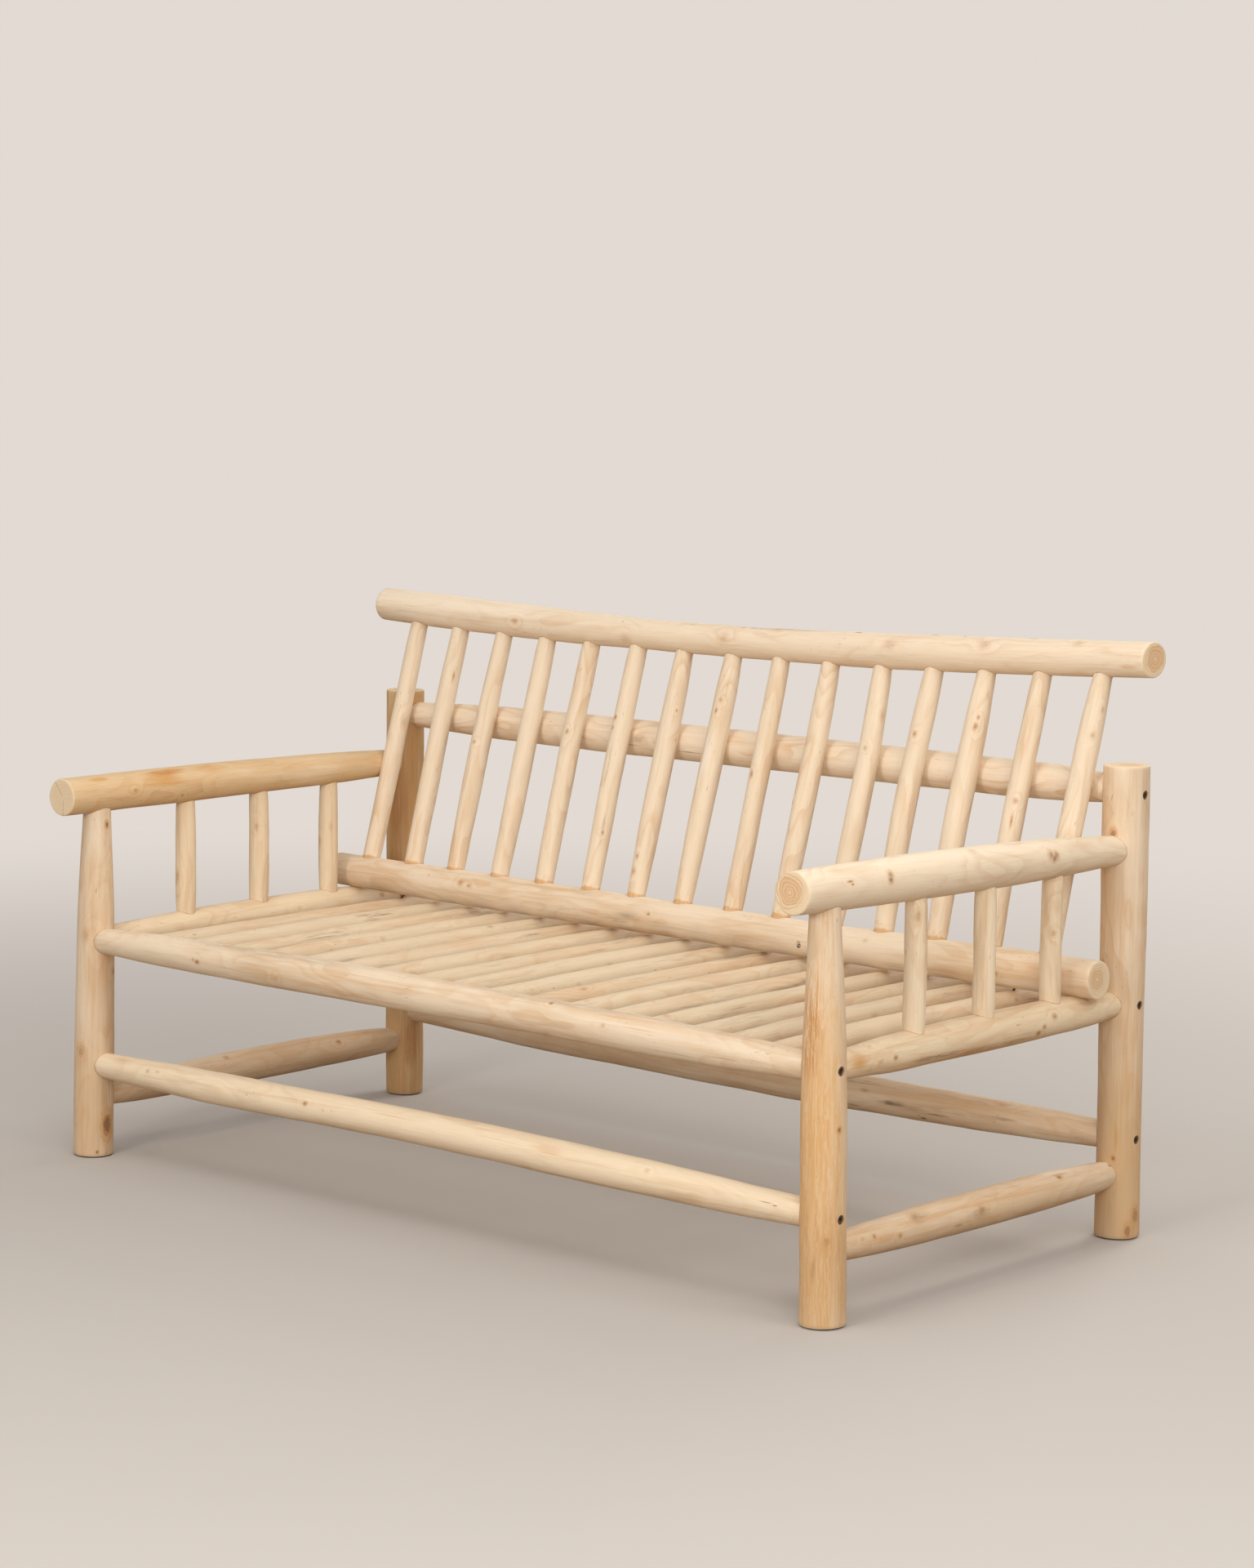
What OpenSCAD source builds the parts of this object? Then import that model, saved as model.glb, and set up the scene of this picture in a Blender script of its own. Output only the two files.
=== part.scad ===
// Three-seat sofa frame made of peeled round logs.
// Two glued side frames carry the arms. Bolted cross rails tie them together, slats make the seat,
// and a ladder of spindles leans on the upper back rail as the backrest.
// The origin is on the floor, under the middle of the whole outline. The front faces -Y and +Z is up.

/* [Overall] */
// Distance between the left and right leg axes
leg_spacing_x = 1500; // [1300:10:2000]
// Distance between the front and back leg axes
leg_spacing_y = 700; // [640:10:900]
// Height of the seat rail axes above the floor
seat_rail_z = 352; // [320:1:400]
// Height of the front and rear stretcher axes above the floor
long_stretcher_z = 150; // [145:1:180]
// How far the side stretcher axes lie below the front and rear ones
side_stretcher_drop = 52; // [45:1:75]
// Height of the armrest axes above the seat rail axes, at the back legs
armrest_rise = 233; // [200:1:270]
// Height of the upper back rail axis above the armrest axes
upper_rail_rise = 84; // [60:1:120]

/* [Legs] */
// Diameter of a front leg at the foot
front_leg_d = 65; // [60:0.5:90]
// Diameter of a front leg where it enters the armrest
front_neck_d = 43; // [34:0.5:48]
// Height at which the front legs begin to taper
front_taper_z = 190; // [150:5:300]
// Diameter of the left back leg
back_leg_left_d = 63.5; // [60:0.5:80]
// Diameter of the right back leg at the foot
back_leg_right_d = 66; // [60:0.5:80]
// Extra diameter of the right back leg at its top
back_leg_right_flare = 3.5; // [0:0.5:8]
// How far the back legs reach above the upper back rail axis
back_leg_above = 37; // [30:1:100]
// Bevel around the feet and the leg tops
leg_bevel = 2; // [1:0.5:5]
// Diameter of the glide pad under each foot
glide_d = 52; // [30:1:58]
// Thickness of the glide pads
glide_h = 2; // [1:0.5:6]

/* [Armrests] */
// How far the armrests reach in front of the front leg axes
arm_overhang = 70; // [40:1:140]
// How much higher the left armrest axis is at its front end than at the back legs
arm_left_slope = 3; // [0:1:30]
// How much higher the right armrest axis is at its front end than at the back legs
arm_right_slope = 11; // [0:1:30]
// Diameter of the armrests at the front end
arm_front_d = 60; // [56:0.5:75]
// Diameter of the armrests in the middle
arm_middle_d = 63; // [56:0.5:80]
// Diameter of the armrests where they enter the back legs
arm_back_d = 43; // [36:0.5:48]
// Number of spindles under each armrest
arm_spindle_count = 3; // [2:1:5]
// Distance from the front leg axis to the first arm spindle
arm_spindle_first = 195; // [100:1:220]
// Distance from the back leg axis to the last arm spindle
arm_spindle_last = 181; // [170:1:220]
// Diameter of the arm spindles at their ends
arm_spindle_end_d = 30; // [22:0.5:34]
// Diameter of the arm spindles in the middle
arm_spindle_middle_d = 33; // [22:0.5:42]

/* [Rails] */
// Diameter of the long rails where they enter the legs
long_rail_end_d = 40; // [32:0.5:42]
// Diameter of the front seat rail in the middle
front_rail_middle_d = 56; // [50:0.5:70]
// Diameter of the rear seat rail in the middle
rear_rail_middle_d = 52; // [50:0.5:70]
// Diameter of the front stretcher in the middle
front_stretcher_middle_d = 52.5; // [42:0.5:70]
// Diameter of the rear stretcher in the middle
rear_stretcher_middle_d = 57; // [42:0.5:70]
// Diameter of the upper back rail in the middle
upper_rail_middle_d = 52.5; // [42:0.5:60]
// Diameter of the side rails and side stretchers where they enter the legs
side_rail_end_d = 38; // [32:0.5:40]
// Diameter of the side seat rails in the middle
side_rail_middle_d = 54; // [48:0.5:66]
// Diameter of the side stretchers in the middle
side_stretcher_middle_d = 54.5; // [40:0.5:66]
// Diameter of the side rails' tenons inside the legs
side_tenon_d = 30; // [22:0.5:32]
// How far the side rails' tenons reach past the leg axis
side_tenon_reach = 14; // [8:0.5:16]

/* [Seat slats] */
// Number of seat slats
slat_count = 17; // [8:1:17]
// Distance from a side rail axis to the nearest slat axis
slat_inset = 112.4; // [50:0.1:140]
// How far the slat axes lie below the seat rail axes
slat_drop = 0; // [-2:0.5:10]
// Diameter of the slats in the middle
slat_middle_d = 40; // [28:0.5:43]
// Diameter of the slats' tenons in the seat rails
slat_tenon_d = 23; // [16:0.5:24]

/* [Backrest] */
// Distance from the back leg axes forward to the backrest's bottom rail axis
ladder_inset = 116; // [105:1:140]
// Distance between the bottom rail and top rail axes, without the sag
ladder_height = 471; // [380:1:560]
// How much higher the top rail's right end is than its left end
top_rail_slope = 8; // [0:1:20]
// How far the top rail sags in the middle
top_rail_sag = 20; // [0:0.5:24]
// How far the top rail reaches past the leg axes
top_rail_overhang = 50; // [40:1:120]
// Diameter of the top rail's left third
top_rail_left_d = 55; // [50:0.5:62]
// Diameter of the top rail in the middle
top_rail_middle_d = 49; // [44:0.5:62]
// Diameter of the top rail's right third
top_rail_right_d = 54; // [50:0.5:62]
// How far the bottom rail reaches past the leg axes
bottom_rail_overhang = 40; // [28:1:90]
// Diameter of the bottom rail at its ends
bottom_rail_end_d = 54; // [48:0.5:64]
// Diameter of the bottom rail in the middle
bottom_rail_middle_d = 57.5; // [50:0.5:66]
// Number of back spindles
spindle_count = 15; // [5:1:15]
// Gap between the left armrest and the back spindle next to it
spindle_left_gap = 0.5; // [0.4:0.1:60]
// Distance from the right leg axis to the back spindle next to it
spindle_right_inset = 50.3; // [47:0.1:110]
// Diameter of the back spindles at their ends
spindle_end_d = 29; // [18:0.5:32]
// Diameter of the back spindles in the middle
spindle_middle_d = 33; // [28:0.5:40]

/* [Joints and fasteners] */
// Radial clearance of every tenon and fastener in its hole
fit = 0.2; // [0.1:0.05:0.4]
// Clearance left at the bottom of every blind hole
end_gap = 0.3; // [0.2:0.1:1]
// Distance from a rail's axis to the bottom of the spindle holes in it
spindle_floor = 7; // [5:0.5:10]
// Wood left between two rail sockets that meet in one leg
socket_wall = 1.2; // [0.8:0.1:2]
// Diameter of the bolt shanks
bolt_d = 8; // [6:0.5:8]
// Length of the bolt shanks
bolt_length = 60; // [56:1:64]
// Diameter of the bolt heads
bolt_head_d = 13; // [12:0.5:14]
// Height of the bolt heads
bolt_head_h = 8; // [6:0.5:8]
// Width across the flats of the bolts' hexagon sockets
bolt_socket_af = 6; // [4:0.5:6]
// Depth of the bolts' hexagon sockets
bolt_socket_depth = 4; // [2:0.5:5]
// How far the upper back rail's bolts lie below its axis
upper_bolt_drop = 5; // [0:1:8]
// How far the bolt heads lie below the leg surface
bolt_recess = 1.5; // [0:0.5:3]
// Outer diameter of the threaded inserts
insert_d = 13; // [11.5:0.5:16]
// Length of the threaded inserts
insert_length = 26; // [24:1:40]
// Shank diameter of the backrest screws
screw_d = 4.5; // [3:0.5:5]
// Head diameter of the backrest screws
screw_head_d = 9; // [7:0.5:10]
// Head height of the backrest screws
screw_head_h = 3; // [2:0.5:4]
// Length of the screws that hold the bottom rail to the slats
slat_screw_length = 66; // [62:1:70]
// Length of the screws that hold the spindles to the upper back rail
spindle_screw_length = 50; // [48:1:58]

/* [Hidden] */
LEFT = -1;
RIGHT = 1;
SIDES = [LEFT, RIGHT];
function side_name(side) = side == LEFT ? "left" : "right";
function two_digits(n) = str(n < 10 ? "0" : "", n);

$fn = 48;

// Wood tones
leg_tone = [0.85, 0.72, 0.58];
arm_tone = [0.87, 0.73, 0.56];
rail_tone = [0.90, 0.79, 0.65];
slat_tone = [0.89, 0.79, 0.66];
spindle_tone = [0.94, 0.84, 0.70];
bolt_tone = [0.12, 0.10, 0.10];
insert_tone = [0.72, 0.60, 0.32];

// Stations along a turned log and how fast each kind of log thickens from its ends
log_steps = 14;
rail_fullness = 0.45;
arm_fullness = 0.8;
spindle_fullness = 0.8;
slat_fullness = 0.3;
neck_curve = 1.5;
// Bevel on the hidden end of every tenon
tenon_bevel = 0.8;
// Straight length that a log keeps outside the surface it enters
collar_margin = 1;
// Tiny step that makes cuts run past the faces they open
nick = 0.5;

// Radius of a log whose ends swell towards its middle, t running from 0 to 1
function swell(t, end_a, middle, end_b, fullness) =
    let (end_r = (t < 0.5 ? end_a : end_b) / 2)
    end_r + (middle / 2 - end_r) * pow(sin(180 * max(0, min(1, t))), fullness);

// Bottoms of the sockets, measured from the axis of the log that they are in
socket_floor = max(long_rail_end_d, side_rail_end_d) / 2 + fit + socket_wall;
arm_floor = 16;
neck_reach = 12;
arm_spindle_top_floor = 8;

// Heights that follow each other
side_stretcher_z = long_stretcher_z - side_stretcher_drop;
arm_back_z = seat_rail_z + armrest_rise;
upper_rail_z = arm_back_z + upper_rail_rise;
back_leg_top_z = upper_rail_z + back_leg_above;

// Backrest ladder: it stands on the side rails and leans on the upper back rail
top_rail_length = leg_spacing_x + 2 * top_rail_overhang;
bottom_rail_length = leg_spacing_x + 2 * bottom_rail_overhang;
side_rail_length = leg_spacing_y - 2 * (socket_floor + end_gap);
function side_rail_swell(t) =
    swell(t, side_rail_end_d, side_rail_middle_d, side_rail_end_d, rail_fullness);
function bottom_rail_r(x) =
    swell(0.5 + x / bottom_rail_length, bottom_rail_end_d, bottom_rail_middle_d, bottom_rail_end_d,
          rail_fullness);
ladder_rest_t = 1 - (ladder_inset - socket_floor - end_gap) / side_rail_length;
ladder_z = seat_rail_z + side_rail_swell(ladder_rest_t) + bottom_rail_r(leg_spacing_x / 2) + fit;
lean_gap = (upper_rail_middle_d + spindle_middle_d) / 2 + fit;
lean_run = [ladder_inset, upper_rail_z - ladder_z];
ladder_tilt = atan2(lean_run[0], lean_run[1]) - asin(lean_gap / norm(lean_run));
ladder_up = [0, sin(ladder_tilt), cos(ladder_tilt)];
function ladder_run(x) =
    ladder_height + top_rail_slope * x / top_rail_length - top_rail_sag * cos(180 * x / top_rail_length);

// Top rail: thick ends and a thinner middle, as rings around an axis that sags
top_rail_rings = 18;
top_rail_sides = 20;
function top_rail_r(x) =
    let (edge = x < 0 ? top_rail_left_d : top_rail_right_d)
    top_rail_middle_d / 2 + (edge - top_rail_middle_d) / 2 * pow(sin(180 * abs(x) / top_rail_length), 2);
top_rail_stations = [for (k = [0:top_rail_rings])
    (top_rail_length / 2 - leg_bevel) * (2 * k / top_rail_rings - 1)];
top_rail_reach = max([for (x = top_rail_stations) ladder_run(x) * sin(ladder_tilt) + top_rail_r(x)]);

// Places of the legs: the outline reaches equally far to the front and to the back
arm_slope_angle = atan(max(arm_left_slope, arm_right_slope) / (leg_spacing_y + arm_overhang));
front_reach = arm_overhang + (arm_front_d / 2 - leg_bevel) * sin(arm_slope_angle);
back_reach = max(
    back_leg_left_d / 2,
    (back_leg_right_d + back_leg_right_flare) / 2,
    top_rail_reach - ladder_inset
);
front_y = (front_reach - leg_spacing_y - back_reach) / 2;
back_y = front_y + leg_spacing_y;
leg_x = leg_spacing_x / 2;
ladder_y = back_y - ladder_inset;

// Armrest axis: a straight line that rises a little to the front
arm_tip_y = front_y - arm_overhang;
arm_end_y = back_y - arm_floor - end_gap;
function arm_slope(side) =
    (side == LEFT ? arm_left_slope : arm_right_slope) / (leg_spacing_y + arm_overhang);
function arm_z(side, y) = arm_back_z + arm_slope(side) * (back_y - y);
function arm_r(y) =
    swell((y - arm_tip_y) / (arm_end_y - arm_tip_y), arm_front_d, arm_middle_d, arm_back_d,
          arm_fullness);
function arm_spindle_y(i) =
    let (run = leg_spacing_y - arm_spindle_first - arm_spindle_last)
    front_y + arm_spindle_first + run * (i - 1) / (arm_spindle_count - 1);

// Radius of a leg at height z
neck_z = min(arm_z(LEFT, front_y), arm_z(RIGHT, front_y)) - arm_middle_d / 2 - collar_margin;
function front_leg_r(z) =
    let (t = max(0, min(1, (z - front_taper_z) / (neck_z - front_taper_z))))
    front_leg_d / 2 - (front_leg_d - front_neck_d) / 2 * pow(t, neck_curve);
function back_leg_r(side, z) =
    side == LEFT ? back_leg_left_d / 2
    : (back_leg_right_d + back_leg_right_flare * z / back_leg_top_z) / 2;
function leg_r(side, y, z) = y < 0 ? front_leg_r(z) : back_leg_r(side, z);

// Side rails and stretchers run from socket to socket between the legs
side_rail_y0 = front_y + socket_floor + end_gap;
side_rail_y1 = back_y - socket_floor - end_gap;
function side_rail_r(y) = side_rail_swell((y - side_rail_y0) / side_rail_length);

// Long rails run from socket to socket between the side frames
rail_end_x = leg_x - socket_floor - end_gap;
function upper_rail_r(x) =
    swell(0.5 + x / (2 * rail_end_x), long_rail_end_d, upper_rail_middle_d, long_rail_end_d,
          rail_fullness);

// Back spindles: the first one passes close to the left armrest
arm_pass_y = ladder_y + (arm_back_z - ladder_z) * tan(ladder_tilt);
first_spindle_x = -leg_x + arm_r(arm_pass_y) + spindle_middle_d / 2 + spindle_left_gap;
last_spindle_x = leg_x - spindle_right_inset;
function spindle_x(i) =
    first_spindle_x + (last_spindle_x - first_spindle_x) * (i - 1) / (spindle_count - 1);
function spindle_foot(i) = [spindle_x(i), ladder_y, ladder_z];
function spindle_run(i) = ladder_run(spindle_x(i));

// Seat slats
slat_z = seat_rail_z - slat_drop;
slat_floor = 7;
slat_y0 = front_y + slat_floor + end_gap;
slat_y1 = back_y - slat_floor - end_gap;
slat_collar = max(front_rail_middle_d, rear_rail_middle_d) / 2 - slat_floor + collar_margin;
function slat_x(i) = (leg_x - slat_inset) * (2 * (i - 1) / (slat_count - 1) - 1);

// Bolts: [side, y, z] of each one, and the seat of its head from the middle of the sofa
upper_bolt_z = upper_rail_z - upper_bolt_drop;
bolt_places = [
    for (side = SIDES)
        for (place = [
            [side, front_y, seat_rail_z],
            [side, front_y, long_stretcher_z],
            [side, back_y, seat_rail_z],
            [side, back_y, long_stretcher_z],
            [side, back_y, upper_bolt_z]
        ])
            place
];
function bolt_seat_x(place) =
    leg_x + leg_r(place[0], place[1], place[2]) - bolt_recess - bolt_head_h;

// Screws that hold the bottom rail to slats, as [slat, side of the rail that the head is on]
FRONT = -1;
BACK = 1;
front_screw_share = 0.7;
slat_screws = [[1, BACK], [round(slat_count * front_screw_share), FRONT], [slat_count, BACK]];
slat_screw_slope = 45;
slat_screw_entry = 11;
slat_screw_sink = 6;
// Spindles that are screwed to the upper back rail from behind
screwed_spindles = [2, spindle_count - 1];
spindle_screw_sink = 4;

// Turns its child's +Z to a direction and sets it at a point
module along(from, direction) {
    unit = direction / norm(direction);
    translate(from)
        rotate([0, acos(unit[2]), atan2(unit[1], unit[0])])
            children();
}

// A log turned about +Z, with straight collars at its ends and beveled end faces
module turned_log(length, ends, middle, collars, fullness, bevels = [tenon_bevel, tenon_bevel]) {
    body = length - collars[0] - collars[1];
    r_a = ends[0] / 2;
    r_b = ends[1] / 2;
    stations = [for (k = [1:log_steps - 1])
        [swell(k / log_steps, ends[0], middle, ends[1], fullness), collars[0] + body * k / log_steps]];
    rotate_extrude()
        polygon(concat(
            [[0, 0], [r_a - bevels[0], 0], [r_a, bevels[0]], [r_a, max(collars[0], bevels[0] + nick)]],
            stations,
            [[r_b, length - max(collars[1], bevels[1] + nick)], [r_b, length - bevels[1]],
             [r_b - bevels[1], length], [0, length]]
        ));
}

// A blind hole for a tenon, from its floor out through the surface
module socket(floor_point, direction, d, depth) {
    along(floor_point, direction)
        cylinder(d = d + 2 * fit, h = depth);
}

// The room that one bolt needs: its shank, its head and the way in for the head
module bolt_way(place) {
    translate([place[0] * bolt_seat_x(place), place[1], place[2]])
        rotate([0, 90 * place[0], 0]) {
            cylinder(d = bolt_head_d + 2 * fit, h = front_leg_d);
            translate([0, 0, -bolt_length - end_gap])
                cylinder(d = bolt_d + 2 * fit, h = bolt_length + end_gap + nick);
        }
}

module bolt(place) {
    translate([place[0] * bolt_seat_x(place), place[1], place[2]])
        rotate([0, 90 * place[0], 0])
            difference() {
                union() {
                    translate([0, 0, -bolt_length])
                        cylinder(d = bolt_d, h = bolt_length + nick);
                    cylinder(d = bolt_head_d, h = bolt_head_h);
                }
                translate([0, 0, bolt_head_h - bolt_socket_depth])
                    cylinder(d = bolt_socket_af / cos(30), h = bolt_head_h, $fn = 6);
            }
}

// The room that one screw needs, with the underside of its head at the origin
module screw_way(length) {
    translate([0, 0, -length - end_gap])
        cylinder(d = screw_d + 2 * fit, h = length + end_gap + nick);
    cylinder(d = screw_head_d + 2 * fit, h = front_leg_d);
}

module screw(length) {
    difference() {
        union() {
            translate([0, 0, -length])
                cylinder(d = screw_d, h = length + nick);
            cylinder(d = screw_head_d, h = screw_head_h);
        }
        translate([0, 0, screw_head_h / 2])
            cylinder(d = screw_head_d / 2, h = screw_head_h, $fn = 6);
    }
}

// Sets its child under the head of a slat screw, which slopes down through the bottom rail
module at_slat_screw(place) {
    x = slat_x(place[0]);
    r = bottom_rail_r(x);
    translate([x, ladder_y + place[1] * r * cos(slat_screw_entry), ladder_z - r * sin(slat_screw_entry)])
        rotate([-place[1] * slat_screw_slope, 0, 0])
            translate([0, 0, -slat_screw_sink])
                children();
}

// Sets its child under the head of a spindle screw, behind the upper back rail
module at_spindle_screw(i) {
    x = spindle_x(i);
    translate([x, back_y + upper_rail_r(x) - spindle_screw_sink, upper_rail_z])
        rotate([-90, 0, 0])
            children();
}

// Legs
module leg_sockets(side, y, inward) {
    for (place = bolt_places)
        if (place[0] == side && sign(place[1]) == sign(y)) {
            bolt_way(place);
            rail_z = place[2] == upper_bolt_z ? upper_rail_z : place[2];
            socket([side * (leg_x - socket_floor), y, rail_z], [-side, 0, 0], long_rail_end_d,
                   front_leg_d);
        }
    for (z = [seat_rail_z, side_stretcher_z]) {
        socket([side * leg_x, y + inward * socket_floor, z], [0, inward, 0], side_rail_end_d,
               front_leg_d);
        socket([side * leg_x, y - inward * side_tenon_reach, z], [0, inward, 0], side_tenon_d,
               side_tenon_reach + socket_floor + nick);
    }
}

module front_leg(side) {
    top = arm_z(side, front_y) + neck_reach - end_gap;
    neck_r = front_neck_d / 2;
    stations = [for (k = [1:log_steps])
        let (z = front_taper_z + (neck_z - front_taper_z) * k / log_steps)
        [front_leg_r(z), z]];
    color(leg_tone)
        difference() {
            translate([side * leg_x, front_y, 0])
                rotate_extrude()
                    polygon(concat(
                        [[0, glide_h], [front_leg_d / 2 - leg_bevel, glide_h],
                         [front_leg_d / 2, glide_h + leg_bevel], [front_leg_d / 2, front_taper_z]],
                        stations,
                        [[neck_r, top - tenon_bevel], [neck_r - tenon_bevel, top], [0, top]]
                    ));
            leg_sockets(side, front_y, 1);
        }
}

module back_leg(side) {
    foot_r = back_leg_r(side, glide_h);
    top_r = back_leg_r(side, back_leg_top_z);
    arm_socket_y = back_y - arm_floor;
    color(leg_tone)
        difference() {
            translate([side * leg_x, back_y, 0])
                rotate_extrude()
                    polygon([
                        [0, glide_h], [foot_r - leg_bevel, glide_h], [foot_r, glide_h + leg_bevel],
                        [top_r, back_leg_top_z - leg_bevel], [top_r - leg_bevel, back_leg_top_z],
                        [0, back_leg_top_z]
                    ]);
            leg_sockets(side, back_y, -1);
            socket([side * leg_x, arm_socket_y, arm_z(side, arm_socket_y)],
                   [0, -1, arm_slope(side)], arm_back_d, front_leg_d);
        }
}

// Side frames
module armrest(side) {
    tip = [side * leg_x, arm_tip_y, arm_z(side, arm_tip_y)];
    end = [side * leg_x, arm_end_y, arm_z(side, arm_end_y)];
    back_collar = back_leg_r(side, arm_back_z) - arm_floor + collar_margin;
    color(arm_tone)
        difference() {
            along(tip, end - tip)
                turned_log(norm(end - tip), [arm_front_d, arm_back_d], arm_middle_d, [0, back_collar],
                           arm_fullness, [leg_bevel, tenon_bevel]);
            socket([side * leg_x, front_y, arm_z(side, front_y) + neck_reach], [0, 0, -1],
                   front_neck_d, arm_middle_d);
            for (i = [1:arm_spindle_count])
                let (y = arm_spindle_y(i))
                socket([side * leg_x, y, arm_z(side, y) - arm_spindle_top_floor], [0, 0, -1],
                       arm_spindle_end_d, arm_middle_d);
        }
}

module arm_spindle(side, i) {
    y = arm_spindle_y(i);
    z0 = seat_rail_z + spindle_floor + end_gap;
    z1 = arm_z(side, y) - arm_spindle_top_floor - end_gap;
    collars = [side_rail_r(y) - spindle_floor + collar_margin,
               arm_r(y) - arm_spindle_top_floor + collar_margin];
    color(spindle_tone)
        translate([side * leg_x, y, z0])
            turned_log(z1 - z0, [arm_spindle_end_d, arm_spindle_end_d], arm_spindle_middle_d, collars,
                       spindle_fullness);
}

// A side rail or side stretcher, with a tenon at each end that a bolt may pass through
module side_log(side, z, middle) {
    collars = [leg_r(side, front_y, z) - socket_floor + collar_margin,
               leg_r(side, back_y, z) - socket_floor + collar_margin];
    tenon_length = side_tenon_reach + socket_floor;
    translate([side * leg_x, side_rail_y0, z])
        rotate([-90, 0, 0])
            turned_log(side_rail_length, [side_rail_end_d, side_rail_end_d], middle, collars,
                       rail_fullness);
    for (tenon_y = [side_rail_y0 - tenon_length, side_rail_y1 - nick])
        translate([side * leg_x, tenon_y, z])
            rotate([-90, 0, 0])
                cylinder(d = side_tenon_d, h = tenon_length + nick);
}

module side_seat_rail(side) {
    color(rail_tone)
        difference() {
            side_log(side, seat_rail_z, side_rail_middle_d);
            for (i = [1:arm_spindle_count])
                socket([side * leg_x, arm_spindle_y(i), seat_rail_z + spindle_floor], [0, 0, 1],
                       arm_spindle_end_d, side_rail_middle_d);
            for (place = bolt_places)
                if (place[0] == side && place[2] == seat_rail_z)
                    bolt_way(place);
        }
}

module side_stretcher(side) {
    color(rail_tone)
        side_log(side, side_stretcher_z, side_stretcher_middle_d);
}

// Long rails
module long_rail(y, z, middle, bolt_z) {
    collars = [for (side = SIDES) leg_r(side, y, z) - socket_floor + collar_margin];
    difference() {
        translate([-rail_end_x, y, z])
            rotate([0, 90, 0])
                turned_log(2 * rail_end_x, [long_rail_end_d, long_rail_end_d], middle, collars,
                           rail_fullness);
        for (side = SIDES)
            socket([side * (rail_end_x - insert_length - end_gap), y, bolt_z], [side, 0, 0],
                   insert_d, insert_length + end_gap + nick);
    }
}

module slat_sockets(y, inward) {
    for (i = [1:slat_count])
        socket([slat_x(i), y + inward * slat_floor, slat_z], [0, inward, 0], slat_tenon_d,
               front_rail_middle_d);
}

module front_seat_rail() {
    color(rail_tone)
        difference() {
            long_rail(front_y, seat_rail_z, front_rail_middle_d, seat_rail_z);
            slat_sockets(front_y, 1);
        }
}

module rear_seat_rail() {
    color(rail_tone)
        difference() {
            long_rail(back_y, seat_rail_z, rear_rail_middle_d, seat_rail_z);
            slat_sockets(back_y, -1);
        }
}

module front_stretcher() {
    color(rail_tone)
        long_rail(front_y, long_stretcher_z, front_stretcher_middle_d, long_stretcher_z);
}

module rear_stretcher() {
    color(rail_tone)
        long_rail(back_y, long_stretcher_z, rear_stretcher_middle_d, long_stretcher_z);
}

module upper_back_rail() {
    color(rail_tone)
        difference() {
            long_rail(back_y, upper_rail_z, upper_rail_middle_d, upper_bolt_z);
            for (i = screwed_spindles)
                at_spindle_screw(i)
                    screw_way(spindle_screw_length);
        }
}

// Seat slats
module seat_slat(i) {
    color(slat_tone)
        difference() {
            translate([slat_x(i), slat_y0, slat_z])
                rotate([-90, 0, 0])
                    turned_log(slat_y1 - slat_y0, [slat_tenon_d, slat_tenon_d], slat_middle_d,
                               [slat_collar, slat_collar], slat_fullness);
            for (place = slat_screws)
                if (place[0] == i)
                    at_slat_screw(place)
                        screw_way(slat_screw_length);
        }
}

// Backrest
module backrest_bottom_rail() {
    color(rail_tone)
        difference() {
            translate([-bottom_rail_length / 2, ladder_y, ladder_z])
                rotate([0, 90, 0])
                    turned_log(bottom_rail_length, [bottom_rail_end_d, bottom_rail_end_d],
                               bottom_rail_middle_d, [0, 0], rail_fullness, [leg_bevel, leg_bevel]);
            for (i = [1:spindle_count])
                socket(spindle_foot(i) + spindle_floor * ladder_up, ladder_up, spindle_end_d,
                       bottom_rail_middle_d);
            for (place = slat_screws)
                at_slat_screw(place)
                    screw_way(slat_screw_length);
        }
}

// A ring of points around the top rail, in the plane that stands across it at x
function top_rail_ring(x, r) =
    let (middle = [x, ladder_y, ladder_z] + ladder_run(x) * ladder_up)
    [for (k = [0:top_rail_sides - 1])
        let (turn = 360 * k / top_rail_sides)
        middle + r * [0, cos(turn), sin(turn)]];

module top_rail_body() {
    half = top_rail_length / 2;
    stations = concat(
        [[-half, top_rail_r(-half) - leg_bevel]],
        [for (x = top_rail_stations) [x, top_rail_r(x)]],
        [[half, top_rail_r(half) - leg_bevel]]
    );
    last = len(stations) - 1;
    sides = top_rail_sides;
    polyhedron(
        points = [for (s = stations) each top_rail_ring(s[0], s[1])],
        faces = concat(
            [[for (k = [0:sides - 1]) k]],
            [for (j = [0:last - 1]) for (k = [0:sides - 1])
                let (a = j * sides + k, b = j * sides + (k + 1) % sides)
                each [[a, a + sides, b + sides], [a, b + sides, b]]],
            [[for (k = [0:sides - 1]) last * sides + sides - 1 - k]]
        )
    );
}

module backrest_top_rail() {
    color(rail_tone)
        difference() {
            top_rail_body();
            for (i = [1:spindle_count])
                socket(spindle_foot(i) + (spindle_run(i) - spindle_floor) * ladder_up, -ladder_up,
                       spindle_end_d, top_rail_left_d);
        }
}

module back_spindle(i) {
    x = spindle_x(i);
    cut = spindle_floor + end_gap;
    collars = [bottom_rail_r(x) - spindle_floor + collar_margin,
               top_rail_r(x) - spindle_floor + collar_margin];
    color(spindle_tone)
        difference() {
            along(spindle_foot(i) + cut * ladder_up, ladder_up)
                turned_log(spindle_run(i) - 2 * cut, [spindle_end_d, spindle_end_d], spindle_middle_d,
                           collars, spindle_fullness);
            for (k = screwed_spindles)
                if (k == i)
                    at_spindle_screw(i)
                        screw_way(spindle_screw_length);
        }
}

// Fasteners and feet
module frame_bolts() {
    color(bolt_tone)
        for (place = bolt_places)
            bolt(place);
}

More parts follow.
